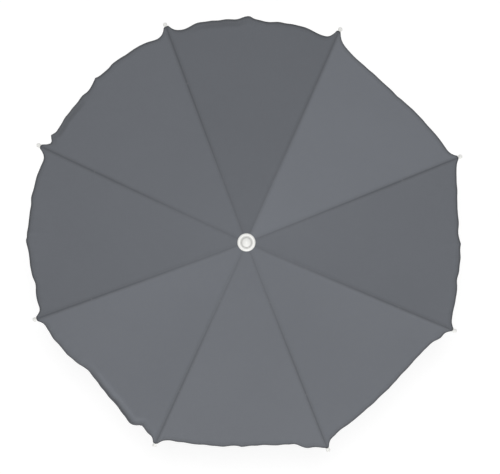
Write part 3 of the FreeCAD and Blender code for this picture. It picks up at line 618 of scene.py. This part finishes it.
# Along the hem, where ripples, peaks and lumps of the edge run up into the cloth as shares of their size:
TURN_HEIGHT, TURN_END = 0.2, (8.4 * MM, 9.6 * MM)
ROLL_DROP, ROLL_WIDTH = 1.9, 3.4 * MM
GATHER_SHARE, GATHER_WAVE, GATHER_FADE = 0.9, 2.9 * MM, 11 * MM
CREASE_SHARE, CREASE_WIDTH, CREASE_FADE = 0.45, 5 * MM, 24 * MM
FOLD_SHARE, FOLD_FADE = 0.4, 14 * MM
UNDER_WIDTH = 15 * MM
OVER_SHARE, OVER_WIDTH = 2.4, 10 * MM
# The heights start outside the cap, and those of the hem stay clear of the tips.
CAP_CLEAR = (18 * MM, 45 * MM)
TIP_CLEAR = (3 * MM, 12 * MM)


def along_hem(stretches, panel, across):
    """The millimetres that belong to a stretch of this panel's hem, fading to 0 at its ends."""
    centre, width, amount = stretches.get(panel, (0, 0.1, 0))
    return amount * np.exp(-((across - centre) / width) ** 4)


def hem_ridge(to_hem):
    """Profile of the ridge where a hem rolls over, 1 along its crest."""
    return np.exp(-((to_hem - RIDGE_PLACE) / RIDGE_WIDTH) ** 2)


def strip(to_hem, width):
    """1 at the hem's edge, falling evenly to 0 at this width."""
    return np.clip(1 - to_hem / width, 0, 1)


def seam_relief(panel, radius, to_seam):
    groove = -GROOVE_DEPTH * np.exp(-(to_seam / GROOVE_WIDTH) ** 2)
    doubled = DOUBLED_HEIGHT * ease(to_seam, *DOUBLED_START) * (1 - ease(to_seam, *DOUBLED_END))
    pucker = PUCKER_HEIGHT * np.sin(radius / PUCKER_WAVE + panel) * np.exp(-to_seam / PUCKER_FADE)
    return groove + doubled + pucker * ease(to_seam, *PUCKER_START)


def hem_relief(panel, across, sideway, to_hem):
    peak, ripple = HEM_SWING[panel][3:]
    turn = TURN_HEIGHT * (1 - ease(to_hem, *TURN_END))
    roll = -ROLL_DROP * strip(to_hem, ROLL_WIDTH) ** 2
    gather = GATHER_SHARE * ripple * np.sin(sideway / GATHER_WAVE + 2 * panel) * np.exp(-to_hem / GATHER_FADE)
    crease = CREASE_SHARE * peak * np.exp(-np.abs(sideway) / CREASE_WIDTH - to_hem / CREASE_FADE)
    fold = FOLD_SHARE * hem_lumps(panel, across) * np.exp(-to_hem / FOLD_FADE)
    under = -along_hem(TURNED_UNDER, panel, across) * strip(to_hem, UNDER_WIDTH)
    over = hem_ridge(to_hem) - OVER_SHARE * strip(to_hem, OVER_WIDTH)
    return turn + roll + gather + crease + fold + under + along_hem(ROLLED_OVER, panel, across) * over


def relief(panel, across, radius, slope):
    """All the small heights of the sewn cloth."""
    sideway = radius * math.sin(HALF_PANEL) * across
    to_seam = radius * math.sin(HALF_PANEL) * (1 - np.abs(across))
    to_hem = (hem_radius(panel, across) - radius) / np.cos(slope)
    slack = np.sin(sideway / SLACK_WAVE + 1.7 * panel) * np.sin(radius / SLACK_WAVE_DOWN + panel)
    over_panel = seam_relief(panel, radius, to_seam) + SLACK_HEIGHT * slack * (1 - across ** 2)
    at_hem = hem_relief(panel, across, sideway, to_hem)
    return MM * (over_panel * ease(radius, *CAP_CLEAR) + at_hem * ease(to_seam, *TIP_CLEAR))


middle = np.zeros(1)
edge_height = relief(5, middle, hem_radius(5, middle), RIB_END)[0]
print("the middle of hem 5 stands", round(float(edge_height / MM), 2), "mm off the smooth sheet")

# %% [markdown]
# ### Surface
# Between two ribs the cloth is pulled nearly straight and dips a little, most of all half way down. The swing
# of a loose hem grows towards the hem, outwards and a little down. Rib, dip, swing and relief add up to the
# point of the cloth for any place on a panel.

# %% Cloth surface
# The dip as a share of the half panel's width, and how far below level a loose hem swings out.
DIP = 0.0575
FLARE = math.radians(20)
CROWN_TO_HEM = HEM_RADIUS - CROWN_HOLE


def cloth_top(panel, across, radius):
    """Points on the top of one panel: across is -1 at its first seam and 1 at its second."""
    slope, height = seam_line(radius)
    reach = radius * math.sin(HALF_PANEL)
    share = np.clip((radius - CROWN_HOLE) / CROWN_TO_HEM, 0, 1.05)
    dip = reach * DIP * np.sin(np.pi * np.clip(share, 0, 1)) * (1 - across ** 2)
    swing = hem_swing(panel, across) * share ** 4
    x = radius * math.cos(HALF_PANEL) - dip * np.sin(slope) + swing * math.cos(FLARE)
    y = reach * across
    z = height - dip * np.cos(slope) - swing * math.sin(FLARE) + relief(panel, across, radius, slope)
    turn = 2 * HALF_PANEL * panel
    return np.stack((x * math.cos(turn) - y * math.sin(turn), x * math.sin(turn) + y * math.cos(turn), z), -1)


corner = cloth_top(1, np.array([-1.0]), np.array([HEM_RADIUS]))[0]
corner_radius = float(np.hypot(corner[0], corner[1]))
print("cloth corner at radius", round(corner_radius, 4), "height", round(float(corner[2]), 4))

# %% [markdown]
# ### Pieces of cloth that ride on the ribs
# When the parasol shuts, each rib swings down and the cloth between the ribs gathers into pleats. A single
# mesh could follow only one rib, so the sheet is cut along the middle of each panel, where no seam is. On
# each rib it is cut once more on either side of the seam, into a narrow band over the rib and the half
# panels beside it. Neighbours share the same points on every cut, so the open canopy is one unbroken surface.

# %% Canopy grid
# Columns of points: their distance from the seam on its band, then from the band, then evenly to the middle.
ON_BAND = np.array([0, 0.5, 1.0, 1.6, 2.4]) * MM
BESIDE_BAND = np.array([1.0, 2.0, 3.0, 5.1, 8.6]) * MM
SEAM_BAND = ON_BAND[-1]
BAND_COLUMN = len(ON_BAND) - 1
FAR_COLUMNS = 30
# Rows of points: evenly from the crown hole to the hem's zone, then closer and closer to the edge.
EVEN_ROWS = 110
HEM_ZONE = 19 * MM
HEM_STEPS = np.array([16, 14, 12.5, 11, 9.6, 9, 8.4, 7, 5.6, 4.4, 3.4, 2.6, 1.9, 1.3, 0.8, 0.4, 0.15, 0]) * MM
even_rows = np.linspace(0, 1 - HEM_ZONE / CROWN_TO_HEM, EVEN_ROWS)
ROWS = np.concatenate((even_rows, 1 - HEM_STEPS / CROWN_TO_HEM))


def grid_places(panel, side):
    """Across and radius of every point from a seam to the panel's middle; side is -1 or 1."""
    base = CROWN_HOLE + CROWN_TO_HEM * ROWS[:, None]
    reach = base * math.sin(HALF_PANEL)
    band = np.repeat(ON_BAND[None, :], len(ROWS), 0)
    beside = SEAM_BAND + BESIDE_BAND[None, :] * np.minimum(1, (reach - SEAM_BAND) / (3 * BESIDE_BAND[-1]))
    steps = np.linspace(0, 1, FAR_COLUMNS + 1)[None, 1:]
    far = beside[:, -1:] + (reach - beside[:, -1:]) * steps
    across = side * (1 - np.concatenate((band, beside, far), 1) / reach)
    across[:, -1] = 0
    radius = CROWN_HOLE + (hem_radius(panel, across) - CROWN_HOLE) * ROWS[:, None]
    return across, radius


print("rows", len(ROWS), "columns", BAND_COLUMN + 1 + len(BESIDE_BAND) + FAR_COLUMNS)

# %% [markdown]
# Besides its points, each panel carries three things that its finish reads: a flat map, which lays the panel
# out as it was cut, so that the weave runs straight, the darkness of its sewn edges, which is partly doubled
# cloth and partly painted shade, and its own tone, which holds some painted shade and a painted highlight. They
# could be painted by hand, but worked out from the same distances as the points they always fit the seams.

# %% Values for the finish
# Each panel's brightness beside that of the roll; part of it is painted shade, most of all on panel 2, on the
# overhead lamp's side.
PANEL_TONE_AND_SHADE = {1: 1.17, 2: 0.905, 3: 0.99, 4: 0.98, 5: 1.02, 6: 0.94, 7: 0.98, 8: 0.965}
# From one panel's place on the roll to the next, in metres.
ROLL_STEP = (0.37, 0.53)
# Shares of darkening, partly doubled cloth and partly painted shade, with the distances from the seam or the hem
# over which they fade.
SEAM_DARK, SEAM_DARK_WIDTH = 0.41, 2.3 * MM
SEAM_DARK_INNER, SEAM_DARK_RISE = 0.4, (40 * MM, 240 * MM)
HEM_DARK_WIDTH = 3.2 * MM
DOUBLED_DARK = 0.06
DOUBLED_DARK_END, TURN_DARK_END = (4 * MM, 5.6 * MM), (8 * MM, 9.8 * MM)
# Painted shadow in a stretch of hem that has turned under: its share, where it starts and ends, and its share at
# the very edge.
UNDER_DARK, UNDER_DARK_START, UNDER_DARK_END = 0.033, (1 * MM, 9 * MM), (12 * MM, 17 * MM)
UNDER_DARK_EDGE = 0.35
# Painted shade along a stretch of hem that rolls over.
OVER_DARK, OVER_DARK_END = 0.75, (0, 12 * MM)
# A painted highlight along the crest of a rolled hem.
CREST_LIGHT = 0.11


def hem_distance(panel, across, radius):
    """How far a point near the hem is from the hem's edge, measured down the cloth."""
    return (hem_radius(panel, across) - radius) / math.cos(RIB_END)


def flat_map(panel, across, radius):
    """The panel laid flat, in metres, with its own place on the roll."""
    wide = radius * math.sin(HALF_PANEL) * across
    down = radius * math.cos(HALF_PANEL) / math.cos((RIB_START + RIB_END) / 2)
    return np.stack((wide + ROLL_STEP[0] * panel, down + ROLL_STEP[1] * panel), -1)


def sewn_edge(panel, across, radius):
    """How much the cloth darkens at a seam or along the hem, 0 to 1: partly doubled cloth, partly painted shade.
    """
    to_seam = radius * math.sin(HALF_PANEL) * (1 - np.abs(across))
    to_hem = hem_distance(panel, across, radius)
    # Painted shade in the seam's groove, and the doubled cloth beside it a little darker.
    seam = SEAM_DARK * np.exp(-(to_seam / SEAM_DARK_WIDTH) ** 2)
    seam = seam + DOUBLED_DARK * (1 - ease(to_seam, *DOUBLED_DARK_END))
    seam = seam * (SEAM_DARK_INNER + (1 - SEAM_DARK_INNER) * ease(radius, *SEAM_DARK_RISE))
    # Painted shade along the hem's rolled edge, and the doubled cloth of its turn a little darker.
    hem = np.exp(-(to_hem / HEM_DARK_WIDTH) ** 2) + DOUBLED_DARK * (1 - ease(to_hem, *TURN_DARK_END))
    # Painted shadow where a stretch of hem has turned under.
    near = 1 - ease(to_hem, *UNDER_DARK_END)
    inside = ease(to_hem, *UNDER_DARK_START) * near
    crease = (UNDER_DARK_EDGE + (1 - UNDER_DARK_EDGE) * inside) * near
    under = UNDER_DARK * along_hem(TURNED_UNDER, panel, across) * crease
    # Painted shade where a stretch of hem rolls over.
    over = OVER_DARK * along_hem(ROLLED_OVER, panel, across) * (1 - ease(to_hem, *OVER_DARK_END))
    return np.clip(np.maximum(seam, np.maximum(hem, under + over)), 0, 1)


def half_panel(panel, side):
    """Grids of points and values for a half panel: rows run to the hem, columns from seam to middle."""
    across, radius = grid_places(panel, side)
    # A painted highlight lifts the tone along the crest of a rolled hem.
    crest = along_hem(ROLLED_OVER, panel, across) * hem_ridge(hem_distance(panel, across, radius))
    return {
        "points": cloth_top(panel, across, radius),
        "flat": flat_map(panel, across, radius),
        "edge": sewn_edge(panel, across, radius),
        # Each panel's tone, partly painted shade.
        "tone": PANEL_TONE_AND_SHADE[panel] * (1 + CREST_LIGHT * crest),
    }


print("darkest edge of panel 1", round(float(half_panel(1, 1)["edge"].max()), 2))

# %% [markdown]
# Each piece is sewn from these grids. A band takes columns from two panels, and along its seam every point
# belongs to both, but the weave of each panel ends there. So the flat map is kept for each corner of a face,
# and not for each point.

# %% Canopy pieces
def pick(grids, columns, flip=False):
    """The same columns of every grid, in reverse order if flipped."""
    step = -1 if flip else 1
    return {name: grid[:, columns][:, ::step] for name, grid in grids.items()}


def join_columns(grids):
    """One grid from grids side by side that share the column where they meet."""
    return np.concatenate([grids[0]] + [grid[:, 1:] for grid in grids[1:]], 1)


def face_corners(grid):
    """The values at the four corners of every face of a grid."""
    return np.stack((grid[:-1, :-1], grid[1:, :-1], grid[1:, 1:], grid[:-1, 1:]), 2)


def draw_mesh(name, points, edges, faces):
    mesh = bpy.data.meshes.new(name)
    mesh.from_pydata([tuple(point) for point in points], edges, faces)
    return mesh


def sew_piece(name, *panels):
    """A piece of cloth from the grids of one panel, or of two with a seam between; cut sides stay sharp."""
    points = join_columns([grids["points"] for grids in panels])
    edge = join_columns([grids["edge"] for grids in panels])
    tone = join_columns([grids["tone"] for grids in panels])
    rows, columns = edge.shape
    faces = face_corners(np.arange(rows * columns).reshape(rows, columns)).reshape(-1, 4)
    mesh = draw_mesh(name, points.reshape(-1, 3), [], faces.tolist())
    mesh.materials.append(cloth_finish)
    mesh.materials.append(lining_finish)
    mesh.polygons.foreach_set("use_smooth", [True] * len(faces))
    ends = np.zeros(2 * len(mesh.edges), int)
    mesh.edges.foreach_get("vertices", ends)
    first, second = ends.reshape(-1, 2).T % columns
    mesh.edges.foreach_set("use_edge_sharp", (first == second) & np.isin(first, (0, columns - 1)))
    flat = np.concatenate([face_corners(grids["flat"]) for grids in panels], 1)
    mesh.uv_layers.new(name="flat").data.foreach_set("uv", flat.astype(np.float32).ravel())
    # The sewn edges' darkening holds painted shade, and each panel's tone holds painted shade and a painted
    # highlight.
    for attribute, domain, values in (("sewn_edge", "POINT", edge), ("panel_tone", "FACE", tone[:-1, :-1])):
        data = mesh.attributes.new(attribute, "FLOAT", domain).data
        data.foreach_set("value", values.astype(np.float32).ravel())
    return add_object(name, mesh)


def make_canopy_pieces(spoke):
    """The band over a rib, 0, and the half panels before and after it, -1 and 1."""
    before = half_panel(panel_before(spoke), 1)
    after = half_panel(spoke, -1)
    band, beside = slice(0, BAND_COLUMN + 1), slice(BAND_COLUMN, None)
    return {
        0: sew_piece(f"canopy_{spoke}_seam", pick(before, band, flip=True), pick(after, band)),
        -1: sew_piece(f"canopy_{spoke}_before", pick(before, beside, flip=True)),
        1: sew_piece(f"canopy_{spoke}_after", pick(after, beside)),
    }


def cloth_area(piece):
    return sum(face.area for face in piece.data.polygons)


canopy = {spoke: make_canopy_pieces(spoke) for spoke in range(1, PANELS + 1)}
whole_area = sum(cloth_area(piece) for pieces in canopy.values() for piece in pieces.values())
half_faces = len(canopy[1][1].data.polygons)
print("canopy pieces", 3 * len(canopy), "faces in a half", half_faces, "area", round(whole_area, 4))

# %% [markdown]
# ### Cloth thickness and rides
# The sheet so far has only a top. Solidify gives it the thickness of the cloth, downwards, so that the top
# stays where it was made. Its underside takes the second material: the duller back of the same cloth. Every
# piece rides on its rib.

# %% Cloth thickness and rides
CLOTH = 0.45 * MM


def fold_with_rib(piece, spoke, side):
    """Ride on a rib; a piece beside it, -1 or 1, also gets its own copy of its mesh."""
    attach(piece, f"rib_{spoke}")
    if side:
        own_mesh(piece)


for spoke, pieces in canopy.items():
    covered = {0: (panel_before(spoke), spoke), -1: (panel_before(spoke),), 1: (spoke,)}
    for side, piece in pieces.items():
        shell = piece.modifiers.new("thickness", "SOLIDIFY")
        shell.thickness = CLOTH
        shell.offset = -1
        shell.material_offset = 1
        fold_with_rib(piece, spoke, side)
        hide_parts(*[f"gore_{panel}" for panel in covered[side]])

# %% [markdown]
# ## Stitches
# Two rows of stitches hold each seam, one on either side of the groove, and one row holds the turned hem.
# Thousands of equal stitches along lines are work for Geometry Nodes: the tree turns the lines of a mesh
# into curves, puts points on them at the stitch pitch and sets a small capsule on every point, turned along
# the line. The result is made a plain mesh for each rib, so that it can ride on the rib like the cloth.

# %% Tree helpers
def start_tree(name, inputs, output):
    """A new tree, the identifiers of its inputs, and the sockets that bring their values in."""
    tree = bpy.data.node_groups.new(name, "GeometryNodeTree")
    tree.is_modifier = True
    identifiers = {}
    for label, kind in inputs.items():
        socket = tree.interface.new_socket(label, in_out="INPUT", socket_type="NodeSocket" + kind)
        identifiers[label] = socket.identifier
    tree.interface.new_socket(output, in_out="OUTPUT", socket_type="NodeSocketGeometry")
    return tree, identifiers, add_node(tree, "NodeGroupInput").outputs


def end_tree(tree, shape, finish):
    """Make the shape real, give it its finish and hand it on."""
    real = add_node(tree, "GeometryNodeRealizeInstances", [("Geometry", shape)])
    painted = add_node(tree, "GeometryNodeSetMaterial", [("Geometry", real.outputs[0]), ("Material", finish)])
    add_node(tree, "NodeGroupOutput", [(0, painted.outputs[0])])


def keep_result(piece):
    """Replace a piece's mesh by what its modifiers make of it."""
    bpy.context.view_layer.update()
    depsgraph = bpy.context.evaluated_depsgraph_get()
    mesh = bpy.data.meshes.new_from_object(piece.evaluated_get(depsgraph))
    piece.modifiers.clear()
    piece.data = mesh


def run_tree(tree, identifiers, values, name, points, edges=(), faces=()):
    """Run a tree on a mesh of lines or faces and keep the result as a plain mesh piece."""
    drawn = draw_mesh(name + "_drawn", points, edges, faces)
    piece = add_object(name, drawn)
    modifier = piece.modifiers.new("tree", "NODES")
    modifier.node_group = tree
    for label, value in values.items():
        modifier[identifiers[label]] = value
    keep_result(piece)
    piece.data.name = name
    bpy.data.meshes.remove(drawn)
    return piece


def draw_lines(rows):
    """Points and edges of separate lines, each from its own row of points."""
    points, edges = [], []
    for row in rows:
        first = len(points)
        points += list(row)
        edges += [(i, i + 1) for i in range(first, len(points) - 1)]
    return points, edges


print("tree helpers ready")

# %% Stitch tree
def make_stitch_tree():
    tree, identifiers, start = start_tree("stitch rows", {
        "Rows": "Geometry", "Pitch": "Float", "Stitch Length": "Float", "Thread Radius": "Float",
        "Thread": "Material",
    }, "Stitches")
    lines = add_node(tree, "GeometryNodeMeshToCurve", [("Mesh", start["Rows"])])
    spots = add_node(tree, "GeometryNodeCurveToPoints",
                     [("Curve", lines.outputs["Curve"]), ("Length", start["Pitch"])], mode="LENGTH")
    ball = add_node(tree, "GeometryNodeMeshUVSphere", [("Segments", 6), ("Rings", 4), ("Radius", 1.0)])
    half = work_out(tree, "MULTIPLY", start["Stitch Length"], 0.5)
    shape = add_node(tree, "ShaderNodeCombineXYZ",
                     [("X", start["Thread Radius"]), ("Y", start["Thread Radius"]), ("Z", half)])
    capsule = add_node(tree, "GeometryNodeTransform",
                       [("Geometry", ball.outputs["Mesh"]), ("Scale", shape.outputs[0])])
    placed = add_node(tree, "GeometryNodeInstanceOnPoints", [
        ("Points", spots.outputs["Points"]), ("Instance", capsule.outputs["Geometry"]),
        ("Rotation", spots.outputs["Rotation"]),
    ])
    end_tree(tree, placed.outputs["Instances"], start["Thread"])
    return tree, identifiers


stitch_tree = make_stitch_tree()
print("stitch tree", len(stitch_tree[0].nodes), "nodes")

# %% [markdown]
# The rows follow the same cloth formula as the panels, a hair above it, so the thread lies on the cloth
# whatever the hem does.

# %% Stitches on every rib
STITCH = {"Pitch": 2.9 * MM, "Stitch Length": 2.4 * MM, "Thread Radius": 0.2 * MM, "Thread": thread_finish}
# A seam's row: its distance from the seam, where it starts from the pole, and how close its points are.
SEAM_ROW, SEAM_ROW_START, SEAM_ROW_STEP = 2.1 * MM, 20 * MM, 3 * MM
# The hem's row: its distance from the edge, how near it comes to a tip as a share, and its points.
HEM_ROW, HEM_ROW_START, HEM_ROW_POINTS = 7 * MM, 0.97, 60
PROUD = np.array((0, 0, 0.06 * MM))


def seam_row(panel, side):
    radius = np.arange(SEAM_ROW_START, HEM_RADIUS - HEM_ROW, SEAM_ROW_STEP)
    across = side * (1 - SEAM_ROW / (radius * math.sin(HALF_PANEL)))
    return cloth_top(panel, across, radius) + PROUD


def hem_row(panel, side):
    across = side * np.linspace(HEM_ROW_START, 0.0, HEM_ROW_POINTS)
    radius = hem_radius(panel, across) - HEM_ROW * math.cos(RIB_END)
    return cloth_top(panel, across, radius) + PROUD


def make_stitches(name, rows, spoke, side):
    piece = run_tree(*stitch_tree, STITCH, name, *draw_lines(rows))
    fold_with_rib(piece, spoke, side)
    return piece


stitches = []
for spoke in range(1, PANELS + 1):
    before = panel_before(spoke)
    seams = [seam_row(before, 1), seam_row(spoke, -1)]
    stitches.append(make_stitches(f"stitches_{spoke}_seam", seams, spoke, 0))
    stitches.append(make_stitches(f"stitches_{spoke}_before", [hem_row(before, 1)], spoke, -1))
    stitches.append(make_stitches(f"stitches_{spoke}_after", [hem_row(spoke, -1)], spoke, 1))
print("stitch pieces", len(stitches), "faces on one seam", len(stitches[0].data.polygons))

# %% [markdown]
# ## Softened edges
# The solids have knife-sharp edges, but a moulding, a pin or a rubber pad never has: its tool leaves a small
# radius, and that radius is what catches the light. It could be cut in the CAD, at the price of many more
# faces there. A Bevel on a copy of each solid's mesh is enough for the eye. The copy's loose triangles are
# merged first and flat areas become single faces again, so that only true edges are rounded.

# %% Softened edges
# Millimetres of rounding for each solid.
EDGE_RADIUS = {
    "clamp_body": 0.8, "clamp_jaw": 0.7, "clamp_knob": 0.5, "knuckle_lower": 0.6, "knuckle_upper": 0.6,
    "tilt_button": 0.5, "knuckle_pin": 0.35, "runner": 0.35, "notch": 0.3, "fixed_pad": 0.3,
    "moving_pad": 0.3,
}
# Points nearer than MERGE become one, edges under FLAT_ANGLE degrees vanish, and those over SHARP_ANGLE
# degrees are rounded.
MERGE = 0.002 * MM
FLAT_ANGLE, SHARP_ANGLE = 0.4, 38
node_body = {node: body for body, nodes in frame["record"]["behaviour"]["bodies"].items() for node in nodes}


def shade_round(piece, crease):
    """Smooth shading that stops at edges sharper than the crease angle."""
    piece.data.polygons.foreach_set("use_smooth", [True] * len(piece.data.polygons))
    piece.data.set_sharp_from_angle(angle=math.radians(crease))


def soften(node, radius):
    work = bmesh.new()
    work.from_mesh(frame["nodes"][node].data)
    bmesh.ops.remove_doubles(work, verts=work.verts, dist=MERGE)
    bmesh.ops.dissolve_limit(work, angle_limit=math.radians(FLAT_ANGLE), verts=work.verts, edges=work.edges)
    mesh = bpy.data.meshes.new(node)
    work.to_mesh(mesh)
    work.free()
    mesh.materials.clear()
    mesh.materials.append(SLOT_FINISH[node_slot[node]])
    piece = add_object(node + "_rounded", mesh)
    bevel = piece.modifiers.new("edges", "BEVEL")
    bevel.width = radius * MM
    bevel.segments = 3
    bevel.limit_method = "ANGLE"
    bevel.angle_limit = math.radians(SHARP_ANGLE)
    keep_result(piece)
    shade_round(piece, SHARP_ANGLE)
    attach(piece, node_body[node])
    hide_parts(node)
    return piece


rounded = {node: soften(node, radius) for node, radius in EDGE_RADIUS.items()}
print("rounded", {node: len(piece.data.polygons) for node, piece in rounded.items()})

# %% [markdown]
# ## Screw thread
# The clamp's screw is a turned steel shank with a rolled right-hand thread of 3 mm lead. A thread is one
# ridge that winds along the shank, so a small tree makes it: a spiral curve, a lozenge profile swept along
# it, laid along the screw's axis and joined to the turned shank. The lozenge stands half out of the shank,
# which gives the sloping flanks of a thread.

# %% Turned shank
screw_low, screw_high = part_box("clamp_screw")
SHANK_RADIUS = 3.3 * MM
FOOT_RADIUS = 4.5 * MM
FOOT_END = screw_low.x + 3.2 * MM
THREAD_LEAD = 3 * MM
CHAMFER = 0.4 * MM
THREAD_CREASE = 35


def turned(profile, around=40):
    """Points and faces of a shape turned about the X axis, from pairs of radius and x, with closed ends."""
    points, faces = [], []
    for radius, x in profile:
        for step in range(around):
            turn = 2 * math.pi * step / around
            points.append((x, radius * math.cos(turn), radius * math.sin(turn)))
    for row in range(len(profile) - 1):
        for step in range(around):
            after = (step + 1) % around
            here, there = row * around, (row + 1) * around
            faces.append((here + step, here + after, there + after, there + step))
    faces.append(tuple(range(around))[::-1])
    faces.append(tuple(range((len(profile) - 1) * around, len(profile) * around)))
    return points, faces


shank_profile = [
    (FOOT_RADIUS - CHAMFER, screw_low.x),
    (FOOT_RADIUS, screw_low.x + CHAMFER),
    (FOOT_RADIUS, FOOT_END - CHAMFER),
    (FOOT_RADIUS - CHAMFER, FOOT_END),
    (SHANK_RADIUS, FOOT_END + CHAMFER),
    (SHANK_RADIUS, screw_high.x - CHAMFER),
    (SHANK_RADIUS - CHAMFER, screw_high.x),
]
shank_points, shank_faces = turned(shank_profile)
print("shank from", round(screw_low.x, 4), "to", round(screw_high.x, 4))

# %% Thread tree
def make_thread_tree():
    tree, identifiers, start = start_tree("screw thread", {
        "Shank": "Geometry", "Turns": "Float", "Length": "Float", "Radius": "Float", "Depth": "Float",
        "Flank": "Float", "Start": "Vector", "Plate": "Material",
    }, "Screw")
    spiral = add_node(tree, "GeometryNodeCurveSpiral", [
        ("Resolution", 28), ("Reverse", True), ("Rotations", start["Turns"]), ("Height", start["Length"]),
        ("Start Radius", start["Radius"]), ("End Radius", start["Radius"]),
    ])
    upright = add_node(tree, "GeometryNodeSetCurveNormal", [("Curve", spiral.outputs["Curve"])], mode="Z_UP")
    lozenge = add_node(tree, "GeometryNodeCurvePrimitiveQuadrilateral", [
        ("Width", start["Depth"]), ("Bottom Height", start["Flank"]), ("Top Height", start["Flank"]),
    ], mode="KITE")
    ridge = add_node(tree, "GeometryNodeCurveToMesh", [
        ("Curve", upright.outputs["Curve"]), ("Profile Curve", lozenge.outputs["Curve"]), ("Fill Caps", True),
    ])
    laid = add_node(tree, "GeometryNodeTransform", [
        ("Geometry", ridge.outputs["Mesh"]), ("Rotation", (0, math.pi / 2, 0)),
        ("Translation", start["Start"]),
    ])
    both = add_node(tree, "GeometryNodeJoinGeometry",
                    [("Geometry", start["Shank"]), ("Geometry", laid.outputs["Geometry"])])
    end_tree(tree, both.outputs["Geometry"], start["Plate"])
    return tree, identifiers


thread_tree = make_thread_tree()
thread_length = screw_high.x - FOOT_END - 2 * THREAD_LEAD
thread_values = {
    "Turns": thread_length / THREAD_LEAD, "Length": thread_length, "Radius": SHANK_RADIUS, "Depth": 1.36 * MM,
    "Flank": 1.3 * MM, "Start": (FOOT_END + THREAD_LEAD, 0, 0), "Plate": zinc_plate,
}
screw = run_tree(*thread_tree, thread_values, "clamp_screw_threaded", shank_points, faces=shank_faces)
shade_round(screw, THREAD_CREASE)
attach(screw, "screw")
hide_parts("clamp_screw")
print("thread turns", round(thread_values["Turns"], 2), "faces", len(screw.data.polygons))

# %% [markdown]
# ## Thread ties
# Under the canopy each seam is tied to its rib by a short loop of thread in two places, inside and outside
# the stretcher's joint, so that the cloth cannot slide off the rib. A loop is a line that goes round the rib
# twice, and a third small tree turns it into thread.

# %% Ties on every rib
TIE_REACH = (95 * MM, 275 * MM)
TIE_THREAD = 0.28 * MM
TIE_TURNS = 2
TIE_STEPS = 48
TIE_WIDE, TIE_HIGH, TIE_LONG = 1.95 * MM, 2.25 * MM, 1.3 * MM
TIE_MIDDLE = 0.2 * MM
TUBE_CREASE = 60


def make_tube_tree():
    inputs = {"Lines": "Geometry", "Radius": "Float", "Finish": "Material"}
    tree, identifiers, start = start_tree("round line", inputs, "Tubes")
    lines = add_node(tree, "GeometryNodeMeshToCurve", [("Mesh", start["Lines"])])
    ring = add_node(tree, "GeometryNodeCurvePrimitiveCircle",
                    [("Resolution", 8), ("Radius", start["Radius"])])
    tube = add_node(tree, "GeometryNodeCurveToMesh", [
        ("Curve", lines.outputs["Curve"]), ("Profile Curve", ring.outputs["Curve"]), ("Fill Caps", True),
    ])
    end_tree(tree, tube.outputs["Mesh"], start["Finish"])
    return tree, identifiers


tube_tree = make_tube_tree()


def tie_line(spoke, reach):
    """Turns of thread round a rib, this far along it: round the seam and the rib's edges, nearly square."""
    slope = RIB_START + reach / RIB_BEND
    along = outward(spoke) * math.cos(slope) - Vector((0, 0, math.sin(slope)))
    above = outward(spoke) * math.sin(slope) + Vector((0, 0, math.cos(slope)))
    radius = PIVOT_RADIUS + RIB_BEND * (math.sin(slope) - math.sin(RIB_START))
    height = CROWN_HEIGHT + RIB_BEND * (math.cos(slope) - math.cos(RIB_START))
    centre = outward(spoke) * radius + Vector((0, 0, height))
    points = []
    for step in range(TIE_STEPS + 1):
        turn = 2 * TIE_TURNS * math.pi * step / TIE_STEPS
        square = max(abs(math.cos(turn)), abs(math.sin(turn))) ** -0.9
        wide = TIE_WIDE * square * math.cos(turn)
        high = TIE_MIDDLE + TIE_HIGH * square * math.sin(turn)
        long = TIE_LONG * (step / TIE_STEPS - 0.5)
        points.append(centre + sideways(spoke) * wide + above * high + along * long)
    return points


def make_ties(spoke):
    values = {"Radius": TIE_THREAD, "Finish": thread_finish}
    rows = [tie_line(spoke, reach) for reach in TIE_REACH]
    piece = run_tree(*tube_tree, values, f"ties_{spoke}", *draw_lines(rows))
    shade_round(piece, TUBE_CREASE)
    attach(piece, f"rib_{spoke}")
    return piece


ties = [make_ties(spoke) for spoke in range(1, PANELS + 1)]
print("ties", len(ties), "faces each", len(ties[0].data.polygons))

# %% [markdown]
# ## Button spring
# A coil of three turns behind the tilt button pushes it out again. The tree of the ties makes this wire too,
# along a helix between the tongue's floor and the button, and the piece rides on the mast with its own copy
# of its mesh. Pressing the button shortens the coil.

# %% Button spring
SPRING_WIRE = 0.4 * MM
SPRING_TURNS = 3
spring_low, spring_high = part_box("button_spring")
coil_radius = (spring_high.x - spring_low.x) / 2 - SPRING_WIRE
coil_centre = (spring_high.z + spring_low.z) / 2
coil_length = spring_high.y - spring_low.y
coil_steps = 24 * SPRING_TURNS
coil_points = []
for step in range(coil_steps + 1):
    turn = 2 * math.pi * SPRING_TURNS * step / coil_steps
    along = spring_low.y + SPRING_WIRE + (coil_length - 2 * SPRING_WIRE) * step / coil_steps
    coil_points.append((coil_radius * math.cos(turn), along, coil_centre - coil_radius * math.sin(turn)))
coil_values = {"Radius": SPRING_WIRE, "Finish": zinc_plate}
coil = run_tree(*tube_tree, coil_values, "button_spring_coil", *draw_lines([coil_points]))
shade_round(coil, TUBE_CREASE)
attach(coil, "mast")
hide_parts("button_spring")
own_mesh(coil)
print("spring", round(coil_length / MM, 2), "mm long, coil radius", round(coil_radius / MM, 2), "mm")
